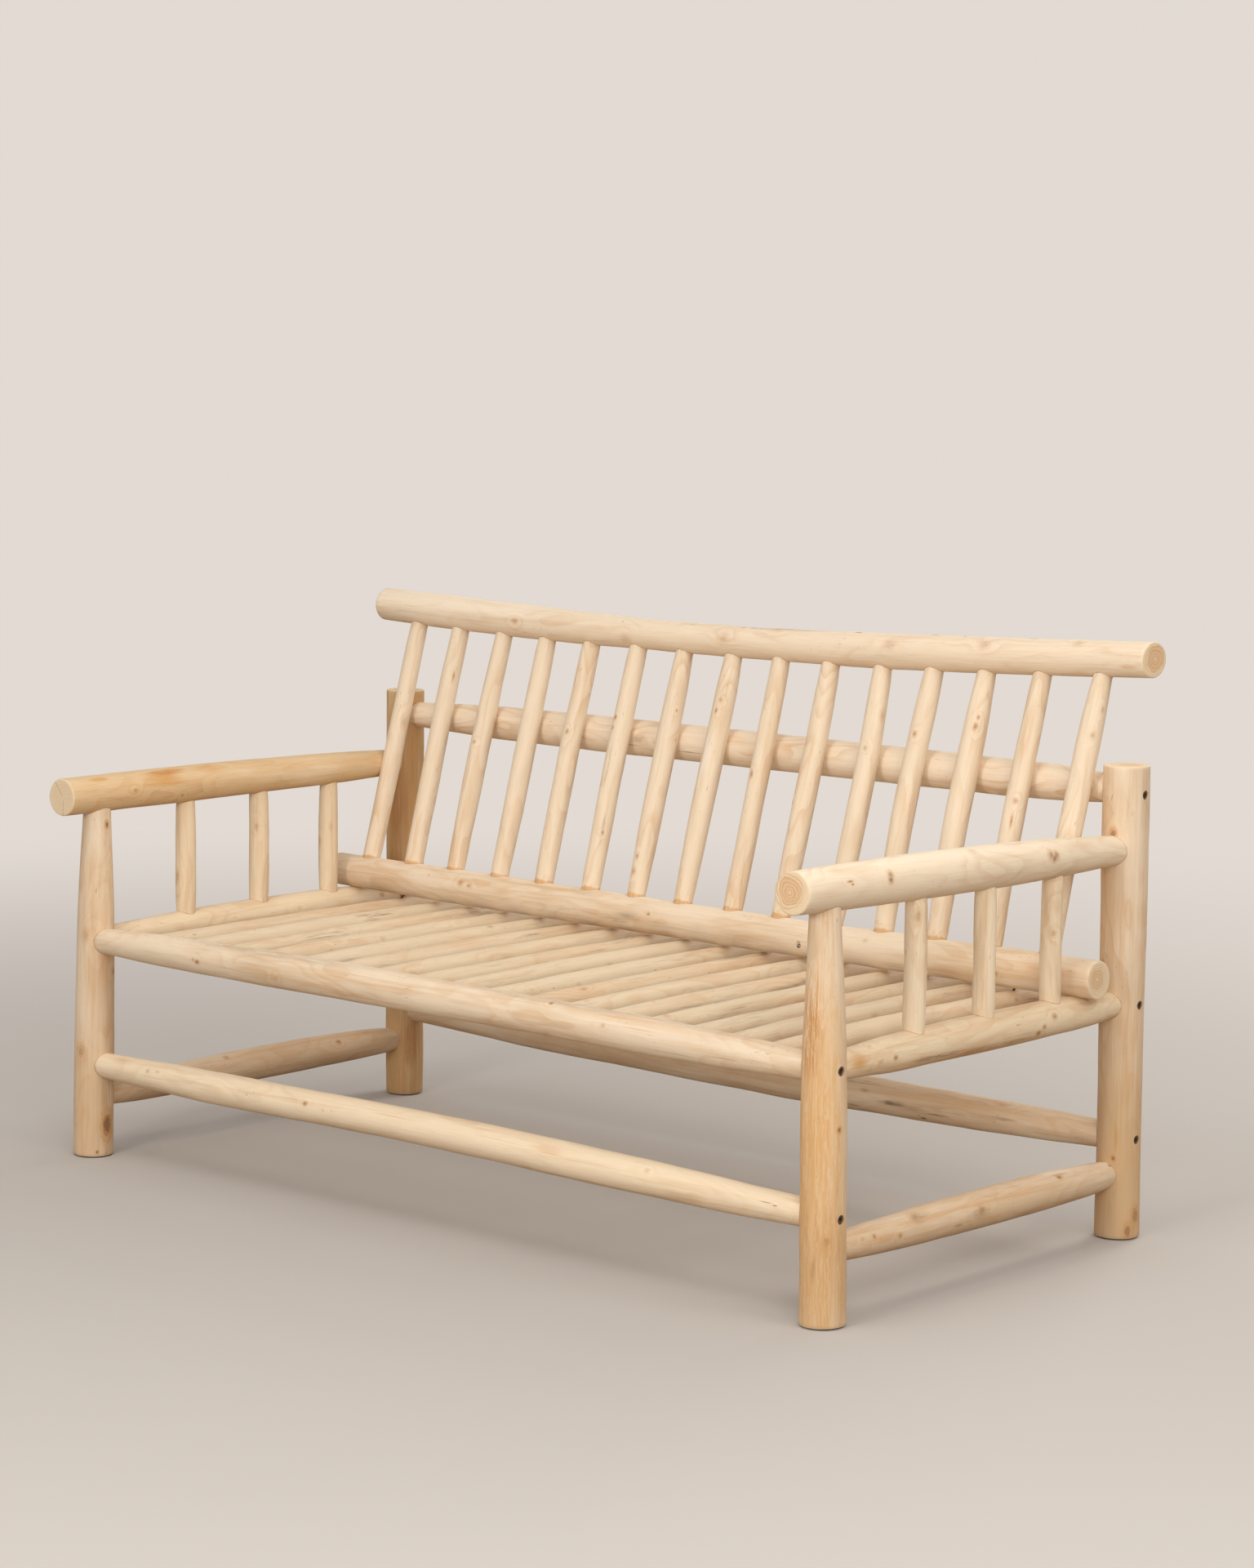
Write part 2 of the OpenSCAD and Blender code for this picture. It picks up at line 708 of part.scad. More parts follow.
module threaded_inserts() {
    color(insert_tone)
        for (place = bolt_places)
            translate([place[0] * rail_end_x, place[1], place[2]])
                rotate([0, -90 * place[0], 0])
                    difference() {
                        cylinder(d = insert_d, h = insert_length);
                        translate([0, 0, -nick])
                            cylinder(d = bolt_d + 2 * fit, h = insert_length + 2 * nick);
                    }
}

module backrest_screws() {
    color(bolt_tone) {
        for (place = slat_screws)
            at_slat_screw(place)
                screw(slat_screw_length);
        for (i = screwed_spindles)
            at_spindle_screw(i)
                screw(spindle_screw_length);
    }
}

module foot_glides() {
    color(bolt_tone)
        for (side = SIDES)
            for (y = [front_y, back_y])
                translate([side * leg_x, y, 0])
                    cylinder(d = glide_d, h = glide_h);
}

for (side = SIDES) {
    front_leg(side);
    back_leg(side);
    armrest(side);
    for (i = [1:arm_spindle_count])
        arm_spindle(side, i);
    side_seat_rail(side);
    side_stretcher(side);
}
front_seat_rail();
rear_seat_rail();
front_stretcher();
rear_stretcher();
upper_back_rail();
backrest_top_rail();
backrest_bottom_rail();
for (i = [1:spindle_count])
    back_spindle(i);
for (i = [1:slat_count])
    seat_slat(i);
frame_bolts();
threaded_inserts();
backrest_screws();
foot_glides();
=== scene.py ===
import math
import random
from collections import namedtuple

import bmesh
import bpy
from mathutils import Matrix, Vector, noise


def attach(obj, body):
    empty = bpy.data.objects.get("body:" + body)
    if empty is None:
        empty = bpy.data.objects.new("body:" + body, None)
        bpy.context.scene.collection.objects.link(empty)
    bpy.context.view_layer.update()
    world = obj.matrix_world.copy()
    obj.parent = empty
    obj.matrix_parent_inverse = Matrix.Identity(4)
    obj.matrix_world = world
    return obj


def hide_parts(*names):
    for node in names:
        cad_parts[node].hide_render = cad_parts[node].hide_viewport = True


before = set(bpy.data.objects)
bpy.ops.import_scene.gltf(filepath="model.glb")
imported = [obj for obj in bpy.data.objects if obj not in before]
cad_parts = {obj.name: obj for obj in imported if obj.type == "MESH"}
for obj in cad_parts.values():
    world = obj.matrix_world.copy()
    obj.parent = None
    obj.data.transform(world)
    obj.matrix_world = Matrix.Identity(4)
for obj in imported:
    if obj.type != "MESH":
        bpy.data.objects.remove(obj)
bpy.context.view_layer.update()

MM = 0.001
TAU = 2 * math.pi
FRONT, RIGHT, UP, BACK = (0, -1, 0), (1, 0, 0), (0, 0, 1), (0, 1, 0)
SIDE_NAME = {-1: "left", 1: "right"}

# Sizes in millimetres, as in the part's source
LEG_X = 750
FRONT_Y = -332.223
BACK_Y = 367.777
SEAT_Z = 352
LONG_STRETCHER_Z = 150
SIDE_STRETCHER_Z = 98
UPPER_RAIL_Z = 669
UPPER_BOLT_Z = 664
BACK_LEG_TOP = {-1: 710, 1: 706}
GLIDE_H = 2
ARM_BACK_Z = 585
ARM_RISE = {-1: 3, 1: 11}
ARM_LENGTH = 770
ARM_TENON_END = 16.3
ARM_OVERHANG = 70
RAIL_END_X = 728.3
SIDE_RAIL_END = 21.7
# A tenon ends this far from the axis of the log that holds it
SOCKET_FLOOR = 7.3
ARM_SOCKET_FLOOR = 8.3
ARM_SPINDLE_FIRST = 195
ARM_SPINDLE_PITCH = 162
SLAT_COUNT = 17
SLAT_X = 637.6
LADDER_Y = 251.777
LADDER_Z = 404.266
LADDER_TILT = math.radians(15.116)
LADDER_UP = Vector((0, math.sin(LADDER_TILT), math.cos(LADDER_TILT)))
LADDER_HEIGHT = 471
TOP_RAIL_HALF = 800
TOP_RAIL_SLOPE = 8
TOP_RAIL_SAG = 20
BOTTOM_RAIL_HALF = 790
SPINDLE_COUNT = 15
FIRST_SPINDLE_X = -708.6
LAST_SPINDLE_X = 699.7

# Hardware in millimetres. The screws are a little smaller than in the part's source
BOLT_HEAD_R = 6.5
BOLT_HEAD_H = 8
BOLT_LENGTH = 60
BOLT_SHANK_R = 4
BOLT_RECESS = 1.5
BOLT_CLEARANCE = 0.35
SCREW_HEAD_R = 3.9
SCREW_CLEARANCE = 0.25
SLAT_SCREW = 64
SPINDLE_SCREW = 48
# The cutters of the holes for heads reach this far, out of the wood
HOLE_LENGTH = {"bolt": 40, "screw": 30}
FRONT_SCREW_X = 251

# Colours of the wood
CREAM = (237, 216, 188)
TAN = (220, 191, 156)
AMBER = (207, 153, 97)
ORANGE = (206, 150, 80)
RUST = (168, 108, 58)
BROWN = (108, 76, 50)
GREY = (150, 133, 110)
SMUDGE = (122, 98, 74)
# Honey tone at the posts' feet, which darkens their lower parts: partly the wood's own tone, partly painted
# shade towards the floor
HONEY_AND_FOOT_SHADE = (205, 166, 118)
SAWN_FACE = (235, 211, 176)
PITH = (247, 228, 196)

# The top rail's right end is cut shorter and slantwise, in mm and as a slope
TOP_RAIL_SHORT = 12
TOP_RAIL_SLANT = 0.13

# The camera's place in mm, and its pitch, yaw and roll in degrees
CAMERA_PLACE = (3810.5, -4185.2, 1331.1)
CAMERA_TURN = (6.936, 41.596, 0.611)
CAMERA_LENS = 85.58


# Small helpers

def srgb(r, g, b):
    def linear(c):
        c /= 255
        return c / 12.92 if c <= 0.04045 else ((c + 0.055) / 1.055) ** 2.4
    return (linear(r), linear(g), linear(b), 1)


def smooth(low, high, x):
    t = max(0.0, min(1.0, (x - low) / (high - low)))
    return t * t * (3 - 2 * t)


def swell(end_a, middle, end_b, fullness):
    """Diameter along a log that thickens from its ends towards its middle."""
    def diameter(t):
        end = end_a if t < 0.5 else end_b
        return end + (middle - end) * math.sin(math.pi * max(0, min(1, t))) ** fullness
    return diameter


def through(diameters):
    """Diameter along a log as a smooth line through the ones given at shares of its length."""
    points = list(diameters.items())

    def diameter(t):
        t = max(points[0][0], min(points[-1][0], t))
        k = 0
        while k < len(points) - 2 and points[k + 1][0] < t:
            k += 1
        (t0, d0), (t1, d1) = points[k], points[k + 1]
        before = points[k - 1] if k > 0 else points[k]
        after = points[k + 2] if k + 2 < len(points) else points[k + 1]
        slope0 = (d1 - before[1]) / (t1 - before[0])
        slope1 = (after[1] - d0) / (after[0] - t0)
        width = t1 - t0
        u = (t - t0) / width
        return ((2 * u**3 - 3 * u**2 + 1) * d0 + (u**3 - 2 * u**2 + u) * width * slope0
                + (3 * u**2 - 2 * u**3) * d1 + (u**3 - u**2) * width * slope1)
    return diameter


def link(name, data):
    thing = bpy.data.objects.new(name, data)
    bpy.context.scene.collection.objects.link(thing)
    return thing


def bridge(shape, low, high, shift=0):
    """Adds the faces between two rings of points, the second one turned by some points."""
    count = len(low)
    for k in range(count):
        j = (k + 1) % count
        shape.faces.new((low[k], low[j], high[(j + shift) % count], high[(k + shift) % count]))


def to_mesh(name, shape):
    mesh = bpy.data.meshes.new(name)
    shape.to_mesh(mesh)
    shape.free()
    return mesh


def finish_piece(piece, slot, *nodes):
    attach(piece, "root")
    if nodes:
        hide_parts(*nodes)


# Logs

# Every log that is made, by name
LOGS = {}
# A log's section is a little oval, by this share of its radius
OVAL = 0.012
# Whittled ends have this many flat facets
FACETS = 9
# How many of its radii a knot's swelling reaches
KNOT_REACH = 3.2


# A knot: mm from the log's start, degrees round it, radius, height, how dark, and length by width
Knot = namedtuple("Knot", "s angle size height dark long", defaults=(0.8, 0.7, 1.3))
# A patch of another colour, mm wide and long: mostly stains, and on a few logs painted light and shade. A
# streaky one breaks up into fibres
StainAndShading = namedtuple("StainAndShading", "s angle width length strength colour streaky", defaults=(AMBER, 0.0))
# A sawn end: mm to the pith, heart's share of the radius, angles of its cracks, how strong its
# rings are, and how bright its pith is
Sawn = namedtuple("Sawn", "pith heart cracks rings spot", defaults=((2, 1), 0.55, (), 0.6, 0.0))


class Log:
    """A peeled round log from point a to point b, in mm. Angle 0 round it points to `zero`, and 90
    degrees is the direction that is up, or right on a standing log. A bend has a direction in
    degrees, an amount and a number of half waves. A groove has a start, end, angle, width and depth.
    Knots and patches of stain and painted shading are rows of Knot and StainAndShading, and `look` changes
    what LOOK says."""

    def __init__(self, name, a, b, diameter, zero, ninety, seed, sides=56, step=8, bends=(), lump=0.7,
                 knots=(), random_knots=0, stains=(), grooves=(), sawn=(None, None), bevel=1.6,
                 whittled=0, slant=0.0, **look):
        self.name, self.a, self.diameter, self.seed = name, Vector(a), diameter, seed
        self.axis = (Vector(b) - self.a).normalized()
        self.length = (Vector(b) - self.a).length
        self.u = (Vector(zero) - self.axis * self.axis.dot(Vector(zero))).normalized()
        side = Vector(ninety) - self.axis * self.axis.dot(Vector(ninety))
        self.v = (side - self.u * self.u.dot(side)).normalized()
        self.sides, self.step, self.bends, self.lump = sides, step, bends, lump
        self.knots = [Knot(*knot) for knot in knots]
        self.stains = [StainAndShading(*stain) for stain in stains]
        self.grooves, self.sawn, self.bevel = grooves, sawn, bevel
        self.whittled, self.slant, self.look = whittled, slant, look
        dice = random.Random(seed)
        for _ in range(random_knots):
            self.knots.append(Knot(
                dice.uniform(0.06, 0.94) * self.length, dice.uniform(0, 360), dice.uniform(2.0, 4.6),
                dice.uniform(0.2, 0.6), dice.uniform(0.0, 0.25), dice.uniform(1.1, 2.2)))
        self.oval_angle = dice.uniform(0, TAU)
        self.cut_angle = dice.uniform(0, TAU)

    def centre(self, s):
        t = s / self.length
        point = self.a + self.axis * s
        for angle, amount, waves in self.bends:
            way = self.u * math.cos(math.radians(angle)) + self.v * math.sin(math.radians(angle))
            point = point + way * (amount * math.sin(math.pi * waves * max(0, min(1, t))))
        return point

    def radius(self, s, turn):
        r = self.diameter(s / self.length) / 2
        if not self.lump:
            return r
        r *= 1 + OVAL * math.cos(2 * (turn - self.oval_angle))
        # Long lumps, and shorter and lower ones
        across = Vector((math.cos(turn) * 0.9, math.sin(turn) * 0.9, s / 95 + self.seed * 7.3))
        r += self.lump * noise.noise(across)
        across = Vector((math.cos(turn) * 1.9, math.sin(turn) * 1.9, s / 38 + self.seed * 3.1))
        r += self.lump * 0.35 * noise.noise(across)
        if self.whittled:
            near_end = 1 - smooth(14, 14 + self.whittled, min(s, self.length - s))
            if near_end > 0:
                facet = TAU / FACETS
                inside = (turn - self.cut_angle) % facet - facet / 2
                r *= 1 + near_end * (math.cos(facet / 2) / math.cos(inside) - 1) * 0.8
        for knot in self.knots:
            along = (s - knot.s) / (knot.size * knot.long)
            if abs(along) < KNOT_REACH:
                around = (turn - math.radians(knot.angle) + math.pi) % TAU - math.pi
                far = math.hypot(along, around * r / knot.size)
                if far < KNOT_REACH:
                    r += knot.height * (math.exp(-(far / 1.6) ** 2) - 0.75 * math.exp(-(far / 0.75) ** 2))
        for start, end, angle, width, depth in self.grooves:
            if start < s < end:
                around = (turn - math.radians(angle) + math.pi) % TAU - math.pi
                fade = math.sin(math.pi * (s - start) / (end - start)) ** 0.6
                r -= depth * fade * math.exp(-(around * r / width) ** 2)
        return r

    def point(self, s, turn):
        r = self.radius(s, turn)
        return self.centre(s) + (self.u * math.cos(turn) + self.v * math.sin(turn)) * r

    def locate(self, point):
        """Place in the log's own axes: across, across and along, in mm."""
        s = (point - self.a).dot(self.axis)
        off = point - self.centre(max(0, min(self.length, s)))
        return off.dot(self.u), off.dot(self.v), s

    def outside(self, point):
        """How far a point lies outside the log's surface, less than 0 inside it."""
        x, y, s = self.locate(point)
        return math.hypot(x, y) - self.radius(s, math.atan2(y, x))

    def stations(self):
        """(mm along the log, share of the radius, mm taken off the radius) from end to end."""
        count = max(6, round(self.length / self.step))
        body = [(self.length * k / count, 1.0, 0.0) for k in range(1, count)]
        start = [(0, share, 0) for share in (0.25, 0.5, 0.72, 0.88)]
        start += [(0, 1.0, self.bevel), (self.bevel * 0.3, 1.0, self.bevel * 0.35), (self.bevel, 1.0, 0.0)]
        end = [(self.length - s, share, off) for s, share, off in reversed(start)]
        return start + [row for row in body if 2.5 < row[0] < self.length - 2.5] + end

    def mesh(self):
        shape = bmesh.new()
        rings = []
        for s, share, off in self.stations():
            ring = []
            for k in range(self.sides):
                turn = TAU * k / self.sides
                r = (self.radius(s, turn) - off) * share
                # The saw leaves its face uneven, inwards only
                saw = 0
                if s in (0, self.length) and self.lump:
                    across = Vector((r * math.cos(turn) / 5, r * math.sin(turn) / 14, self.seed))
                    saw = abs(0.25 * noise.noise(across))
                skew = self.slant * r * math.cos(turn) * smooth(self.length - 30, self.length, s)
                way = self.u * math.cos(turn) + self.v * math.sin(turn)
                place = self.centre(s) + way * r + self.axis * ((saw if s == 0 else -saw) - skew)
                ring.append(shape.verts.new(place * MM))
            rings.append(ring)
        for low, high in zip(rings, rings[1:]):
            bridge(shape, low, high)
        for ring, s in ((rings[0], 0), (rings[-1], self.length)):
            pole = shape.verts.new(self.centre(s) * MM)
            for k in range(self.sides):
                shape.faces.new((ring[k], ring[(k + 1) % self.sides], pole))
        bmesh.ops.recalc_face_normals(shape, faces=shape.faces)
        return to_mesh(self.name, shape)

    def write_grain(self, mesh):
        """Stores where each point lies in the log, so that the grain follows the log."""
        mesh.attributes.new("grain", "FLOAT_VECTOR", "POINT")
        mesh.attributes.new("end_a", "FLOAT", "POINT")
        mesh.attributes.new("end_b", "FLOAT", "POINT")
        grain, end_a, end_b = (mesh.attributes[name] for name in ("grain", "end_a", "end_b"))
        for k, vertex in enumerate(mesh.vertices):
            x, y, s = self.locate(vertex.co / MM)
            grain.data[k].vector = (x * MM, y * MM, s * MM)
            end_a.data[k].value = 1.0 if s < self.bevel * 0.6 else 0.0
            end_b.data[k].value = 1.0 if s + self.slant * x > self.length - self.bevel * 0.6 else 0.0


def cut(piece, holes):
    """Cuts round holes, each (place, direction, radius, length) in mm, into a piece."""
    shape = bmesh.new()
    for place, way, r, length in holes:
        turn = Vector(way).to_track_quat("Z", "Y").to_matrix().to_4x4()
        middle = Vector(place) + Vector(way).normalized() * (length / 2)
        bmesh.ops.create_cone(
            shape, cap_ends=True, segments=28, radius1=r * MM, radius2=r * MM, depth=length * MM,
            matrix=Matrix.Translation(middle * MM) @ turn)
    tool = link("tool", to_mesh("tool", shape))
    step = piece.modifiers.new("holes", "BOOLEAN")
    step.operation, step.solver, step.object = "DIFFERENCE", "EXACT", tool
    graph = bpy.context.evaluated_depsgraph_get()
    made = bpy.data.meshes.new_from_object(piece.evaluated_get(graph))
    piece.modifiers.clear()
    old, piece.data = piece.data, made
    made.name = piece.name
    bpy.data.meshes.remove(old)
    bpy.data.objects.remove(tool)


def add_log(log, slot, holes=()):
    piece = link("log_" + log.name, log.mesh())
    if holes:
        cut(piece, holes)
    log.write_grain(piece.data)
    piece.data.shade_smooth()
    piece.data.set_sharp_from_angle(angle=math.radians(38))
    piece.data.materials.clear()
    piece.data.materials.append(wood(log))
    finish_piece(piece, slot, log.name)
    LOGS[log.name] = log


# Materials

class Nodes:
    """Short names for making the nodes of a material or of the world."""

    def __init__(self, owner):
        owner.use_nodes = True
        self.tree = owner.node_tree
        self.tree.nodes.clear()

    def node(self, kind, *inputs, **settings):
        """Adds a node with its settings, and fills its inputs from the first one on."""
        node = self.tree.nodes.new("ShaderNode" + kind)
        for name, setting in settings.items():
            setattr(node, name, setting)
        for socket, value in zip(node.inputs, inputs):
            self.join(value, socket)
        return node

    def join(self, source, target):
        """Links an output to an input, or sets the input to a constant."""
        if isinstance(source, bpy.types.NodeSocket):
            self.tree.links.new(source, target)
        else:
            target.default_value = source

    def attribute(self, name, output="Vector"):
        return self.node("Attribute", attribute_name=name).outputs[output]

    def position(self):
        return self.node("NewGeometry").outputs["Position"]

    def math(self, operation, a, b=0.0):
        return self.node("Math", a, b, operation=operation).outputs[0]

    def add(self, a, b):
        return self.math("ADD", a, b)

    def minus(self, a, b):
        return self.math("SUBTRACT", a, b)

    def times(self, a, b, c=None):
        return self.math("MULTIPLY", a, b if c is None else self.times(b, c))

    def swing(self, value, width):
        """A value from 0 to 1 as one that swings about 0, so wide in all."""
        return self.times(self.minus(value, 0.5), width)

    def vector(self, operation, a, b=(0, 0, 0)):
        node = self.node("VectorMath", a, b, operation=operation)
        return node.outputs["Value" if operation in ("LENGTH", "DOT_PRODUCT") else "Vector"]

    def noise(self, place, waves, detail=3.0, roughness=0.55, output="Fac"):
        """Noise with so many waves a metre along each axis."""
        node = self.node("TexNoise", self.vector("MULTIPLY", place, waves))
        node.inputs["Scale"].default_value = 1
        node.inputs["Detail"].default_value = detail
        node.inputs["Roughness"].default_value = roughness
        return node.outputs[output]

    def rise(self, value, low, high, to_low=0.0, to_high=1.0):
        """Smooth step of a value from low to high."""
        return self.node("MapRange", value, low, high, to_low, to_high,
                         interpolation_type="SMOOTHSTEP").outputs[0]

    def mix(self, share, a, b, blend="MIX"):
        node = self.node("Mix", data_type="RGBA", blend_type=blend)
        self.join(share, node.inputs["Factor"])
        self.join(a, node.inputs["A"])
        self.join(b, node.inputs["B"])
        return node.outputs["Result"]

    def bump(self, height, strength, distance):
        node = self.node("Bump", strength, distance)
        self.join(height, node.inputs["Height"])
        return node.outputs["Normal"]


class Material(Nodes):
    def __init__(self, name):
        self.material = bpy.data.materials.new(name)
        super().__init__(self.material)
        self.shader = self.node("BsdfPrincipled")
        self.output = self.node("OutputMaterial", self.shader.outputs["BSDF"])

    def set(self, name, value):
        self.join(value, self.shader.inputs[name])


# How a log looks, unless it says otherwise
LOOK = {
    "cream": CREAM,
    "tan": TAN,
    "tan_share": 0.45,
    "streaks": 0.35,
    "amber": 0.12,
    "grey": 0.12,
    "flecks": 0.3,
    "lines": 0.28,
}

# Growth lines a metre, along the log's side and on a sawn end
SIDE_LINES = 420
END_RINGS = 215


class Wood(Material):
    """Material of one log. Its pattern follows the log, by the grain attribute."""

    def __init__(self, log):
        super().__init__("wood_" + log.name)
        self.log = log
        self.look = {**LOOK, **log.look}
        self.grain = self.attribute("grain")
        dice = random.Random(log.seed + 500)
        self.shift = tuple(dice.uniform(-9, 9) for _ in range(3))
        self.place = self.wander(self.vector("ADD", self.grain, self.shift), (9, 9, 3), 0.012)
        self.mottle = self.stretched(16, 4, 3)
        self.broad = self.stretched(70, 2.6, 3)
        self.streak = self.stretched(240, 6, 3)
        self.hair = self.stretched(560, 12, 3)
        self.fibre = self.stretched(1150, 26, 2)

    def wander(self, place, waves, reach):
        """Places moved sideways by noise, so that fibres waver along the log."""
        sway = self.vector("SUBTRACT", self.noise(place, waves, 2, output="Color"), (0.5, 0.5, 0.5))
        return self.vector("ADD", place, self.vector("MULTIPLY", sway, (reach, reach, 0.0)))

    def stretched(self, across, along, detail):
        """Noise with so many waves a metre across and along the log."""
        return self.noise(self.place, (across, across, along), detail, 0.6)

    def distance(self, s, angle, size, long):
        """Distance from a spot on the log's surface, 1 at its edge."""
        r = self.log.diameter(s / self.log.length) / 2
        turn = math.radians(angle)
        spot = (r * math.cos(turn) * MM, r * math.sin(turn) * MM, s * MM)
        scale = (1 / (size * MM), 1 / (size * MM), 1 / (long * MM))
        off = self.vector("SUBTRACT", self.grain, spot)
        return self.vector("LENGTH", self.vector("MULTIPLY", off, scale))

    def find_knots(self):
        """The knots' dark cores and paler halos, and how much the growth lines part round them."""
        ragged = self.minus(self.noise(self.place, (240, 240, 160)), 0.5)
        self.core, self.halo, self.parting, self.nearest = 0.0, 0.0, 0.0, None
        for knot in self.log.knots:
            far = self.add(ragged, self.distance(knot.s, knot.angle, knot.size, knot.size * knot.long))
            core = self.rise(far, 0.95, 0.4, 0.0, knot.dark)
            halo = self.rise(far, 2.1, 0.7, 0.0, min(1.0, 0.9 * knot.dark + 0.1))
            self.core = self.math("MAXIMUM", self.core, core)
            self.halo = self.math("MAXIMUM", self.halo, halo)
            self.parting = self.add(self.parting, self.rise(far, 5.0, 0.5))
            self.nearest = far if self.nearest is None else self.math("MINIMUM", self.nearest, far)

    def growth_lines(self):
        from_pith = self.vector("LENGTH", self.vector(
            "MULTIPLY", self.vector("SUBTRACT", self.place, self.shift), (1, 1, 0)))
        layer = self.add(from_pith, self.swing(self.stretched(11, 3.2, 2), 0.022))
        layer = self.add(layer, self.times(self.parting, 0.0028))
        growth = self.math("FRACT", self.times(layer, SIDE_LINES))
        return self.times(self.rise(growth, 0.35, 0.92), self.rise(growth, 1.0, 0.93),
                          self.rise(self.mottle, 0.36, 0.62))

    def base(self):
        """Mottled cream and tan, growth lines, streaks, grey weathering, which on the slats is partly
        painted shade, and short dark flecks.
        """
        look = self.look
        cream, tan, amber = srgb(*look["cream"]), srgb(*look["tan"]), srgb(*AMBER)
        share = self.add(self.times(self.mottle, 0.6), self.times(self.broad, 0.4))
        middle = 0.72 - 0.45 * look["tan_share"]
        colour = self.mix(self.rise(share, middle - 0.12, middle + 0.12), cream, tan)
        colour = self.mix(self.times(self.growth_lines(), look["lines"]), colour, amber)
        colour = self.mix(self.rise(self.streak, 0.52, 0.74, 0.0, look["streaks"]), colour, srgb(*TAN))
        colour = self.mix(self.times(self.rise(self.hair, 0.5, 0.68), 0.22), colour, cream)
        heart = self.times(self.rise(self.broad, 0.52, 0.68), self.rise(self.streak, 0.35, 0.6, 0.35, 1.0))
        colour = self.mix(self.times(heart, look["amber"] * 2), colour, amber)
        # Grey patches: weathering, and on the slats also painted shade
        weather_and_shade = self.stretched(38, 5, 4)
        dirt_and_shade = self.times(self.rise(weather_and_shade, 0.56, 0.72), self.rise(self.hair, 0.42, 0.6))
        colour = self.mix(self.times(dirt_and_shade, look["grey"] * 2), colour, srgb(*GREY))
        self.fleck = self.times(self.rise(self.stretched(520, 75, 2), 0.66, 0.74),
                                self.rise(self.stretched(26, 12, 2), 0.5, 0.64), look["flecks"] * 2)
        colour = self.mix(self.fleck, colour, srgb(*BROWN))
        return self.mix(self.rise(self.fibre, 0.35, 0.75, 0.0, 0.17), colour, srgb(*TAN), "MULTIPLY")

    def stain(self, colour, stain):
        far = self.distance(stain.s, stain.angle, stain.width, stain.length)
        far = self.add(self.add(far, self.swing(self.broad, 1.5)), self.swing(self.streak, 1.3))
        share = self.rise(far, 1.1, 0.25, 0.0, stain.strength)
        if stain.streaky:
            wavy = self.noise(self.wander(self.place, (60, 60, 40), 0.006), (420, 420, 22), 3, 0.6)
            lines = self.add(self.times(wavy, 0.65), self.times(self.streak, 0.35))
            share = self.times(share, self.rise(lines, 0.42, 0.54, 1 - stain.streaky, 1.0))
        return self.mix(share, colour, srgb(*stain.colour))

    def knotty(self, colour):
        if self.nearest is None:
            return colour
        colour = self.mix(self.halo, colour, srgb(*AMBER))
        eye = self.times(self.rise(self.math("FRACT", self.times(self.nearest, 2.2)), 0.5, 0.95),
                         self.rise(self.nearest, 2.0, 1.0), self.times(self.halo, 0.8))
        colour = self.mix(eye, colour, srgb(*RUST))
        return self.mix(self.core, colour, srgb(*BROWN))

    def sawn_end(self, colour, sawn, end):
        """Growth rings round the pith, a darker heart, fine saw marks and cracks from the pith."""
        r = self.log.diameter(0 if end == "end_a" else 1) / 2
        flat = self.vector("MULTIPLY", self.grain, (1, 1, 0))
        off = self.vector("SUBTRACT", flat, (sawn.pith[0] * MM, sawn.pith[1] * MM, 0))
        wobble = self.swing(self.noise(self.vector("ADD", flat, self.shift), (45, 45, 45), 2), 0.013)
        far = self.add(self.vector("LENGTH", off), wobble)
        heart = self.rise(far, sawn.heart * r * MM, sawn.heart * r * 0.8 * MM, 0.0, 0.38)
        tone = self.mix(heart, srgb(*SAWN_FACE), srgb(*AMBER))
        wave = self.rise(self.math("FRACT", self.times(far, END_RINGS)), 0.2, 0.95)
        inner = self.rise(far, r * 0.97 * MM, r * 0.7 * MM, 0.15, 1.0)
        tone = self.mix(self.times(wave, inner, sawn.rings), tone, srgb(*AMBER))
        marks = self.noise(self.grain, (90, 800, 90), 2)
        tone = self.mix(self.rise(marks, 0.42, 0.7, 0.0, 0.25), tone, srgb(*TAN))
        for angle in sawn.cracks:
            turn = math.radians(angle)
            along = self.vector("DOT_PRODUCT", off, (math.cos(turn), math.sin(turn), 0))
            across = self.add(self.vector("DOT_PRODUCT", off, (-math.sin(turn), math.cos(turn), 0)),
                              self.times(wobble, 0.12))
            thin = self.rise(self.math("ABSOLUTE", across), 0.0005, 0.00015)
            tone = self.mix(self.times(thin, self.rise(along, 0.001, 0.006), 0.75), tone, srgb(*BROWN))
        tone = self.mix(self.rise(far, 0.0032, 0.0012, 0.0, sawn.spot), tone, srgb(*PITH))
        return self.mix(self.attribute(end, "Fac"), colour, tone)


def wood(log):
    n = Wood(log)
    n.find_knots()
    colour = n.base()
    for stain in log.stains:
        colour = n.stain(colour, stain)
    colour = n.knotty(colour)
    for sawn, end in zip(log.sawn, ("end_a", "end_b")):
        if sawn:
            colour = n.sawn_end(colour, sawn, end)
    n.set("Base Color", colour)
    n.set("Roughness", n.rise(n.streak, 0.3, 0.7, 0.55, 0.72))
    n.set("Specular IOR Level", 0.3)
    height = n.add(n.times(n.fibre, 0.5), n.times(n.streak, 0.8))
    height = n.add(height, n.times(n.hair, 0.5))
    height = n.minus(n.minus(height, n.times(n.core, 0.8)), n.times(n.fleck, 0.7))
    n.set("Normal", n.bump(height, 0.3, 0.0009))
    return n.material


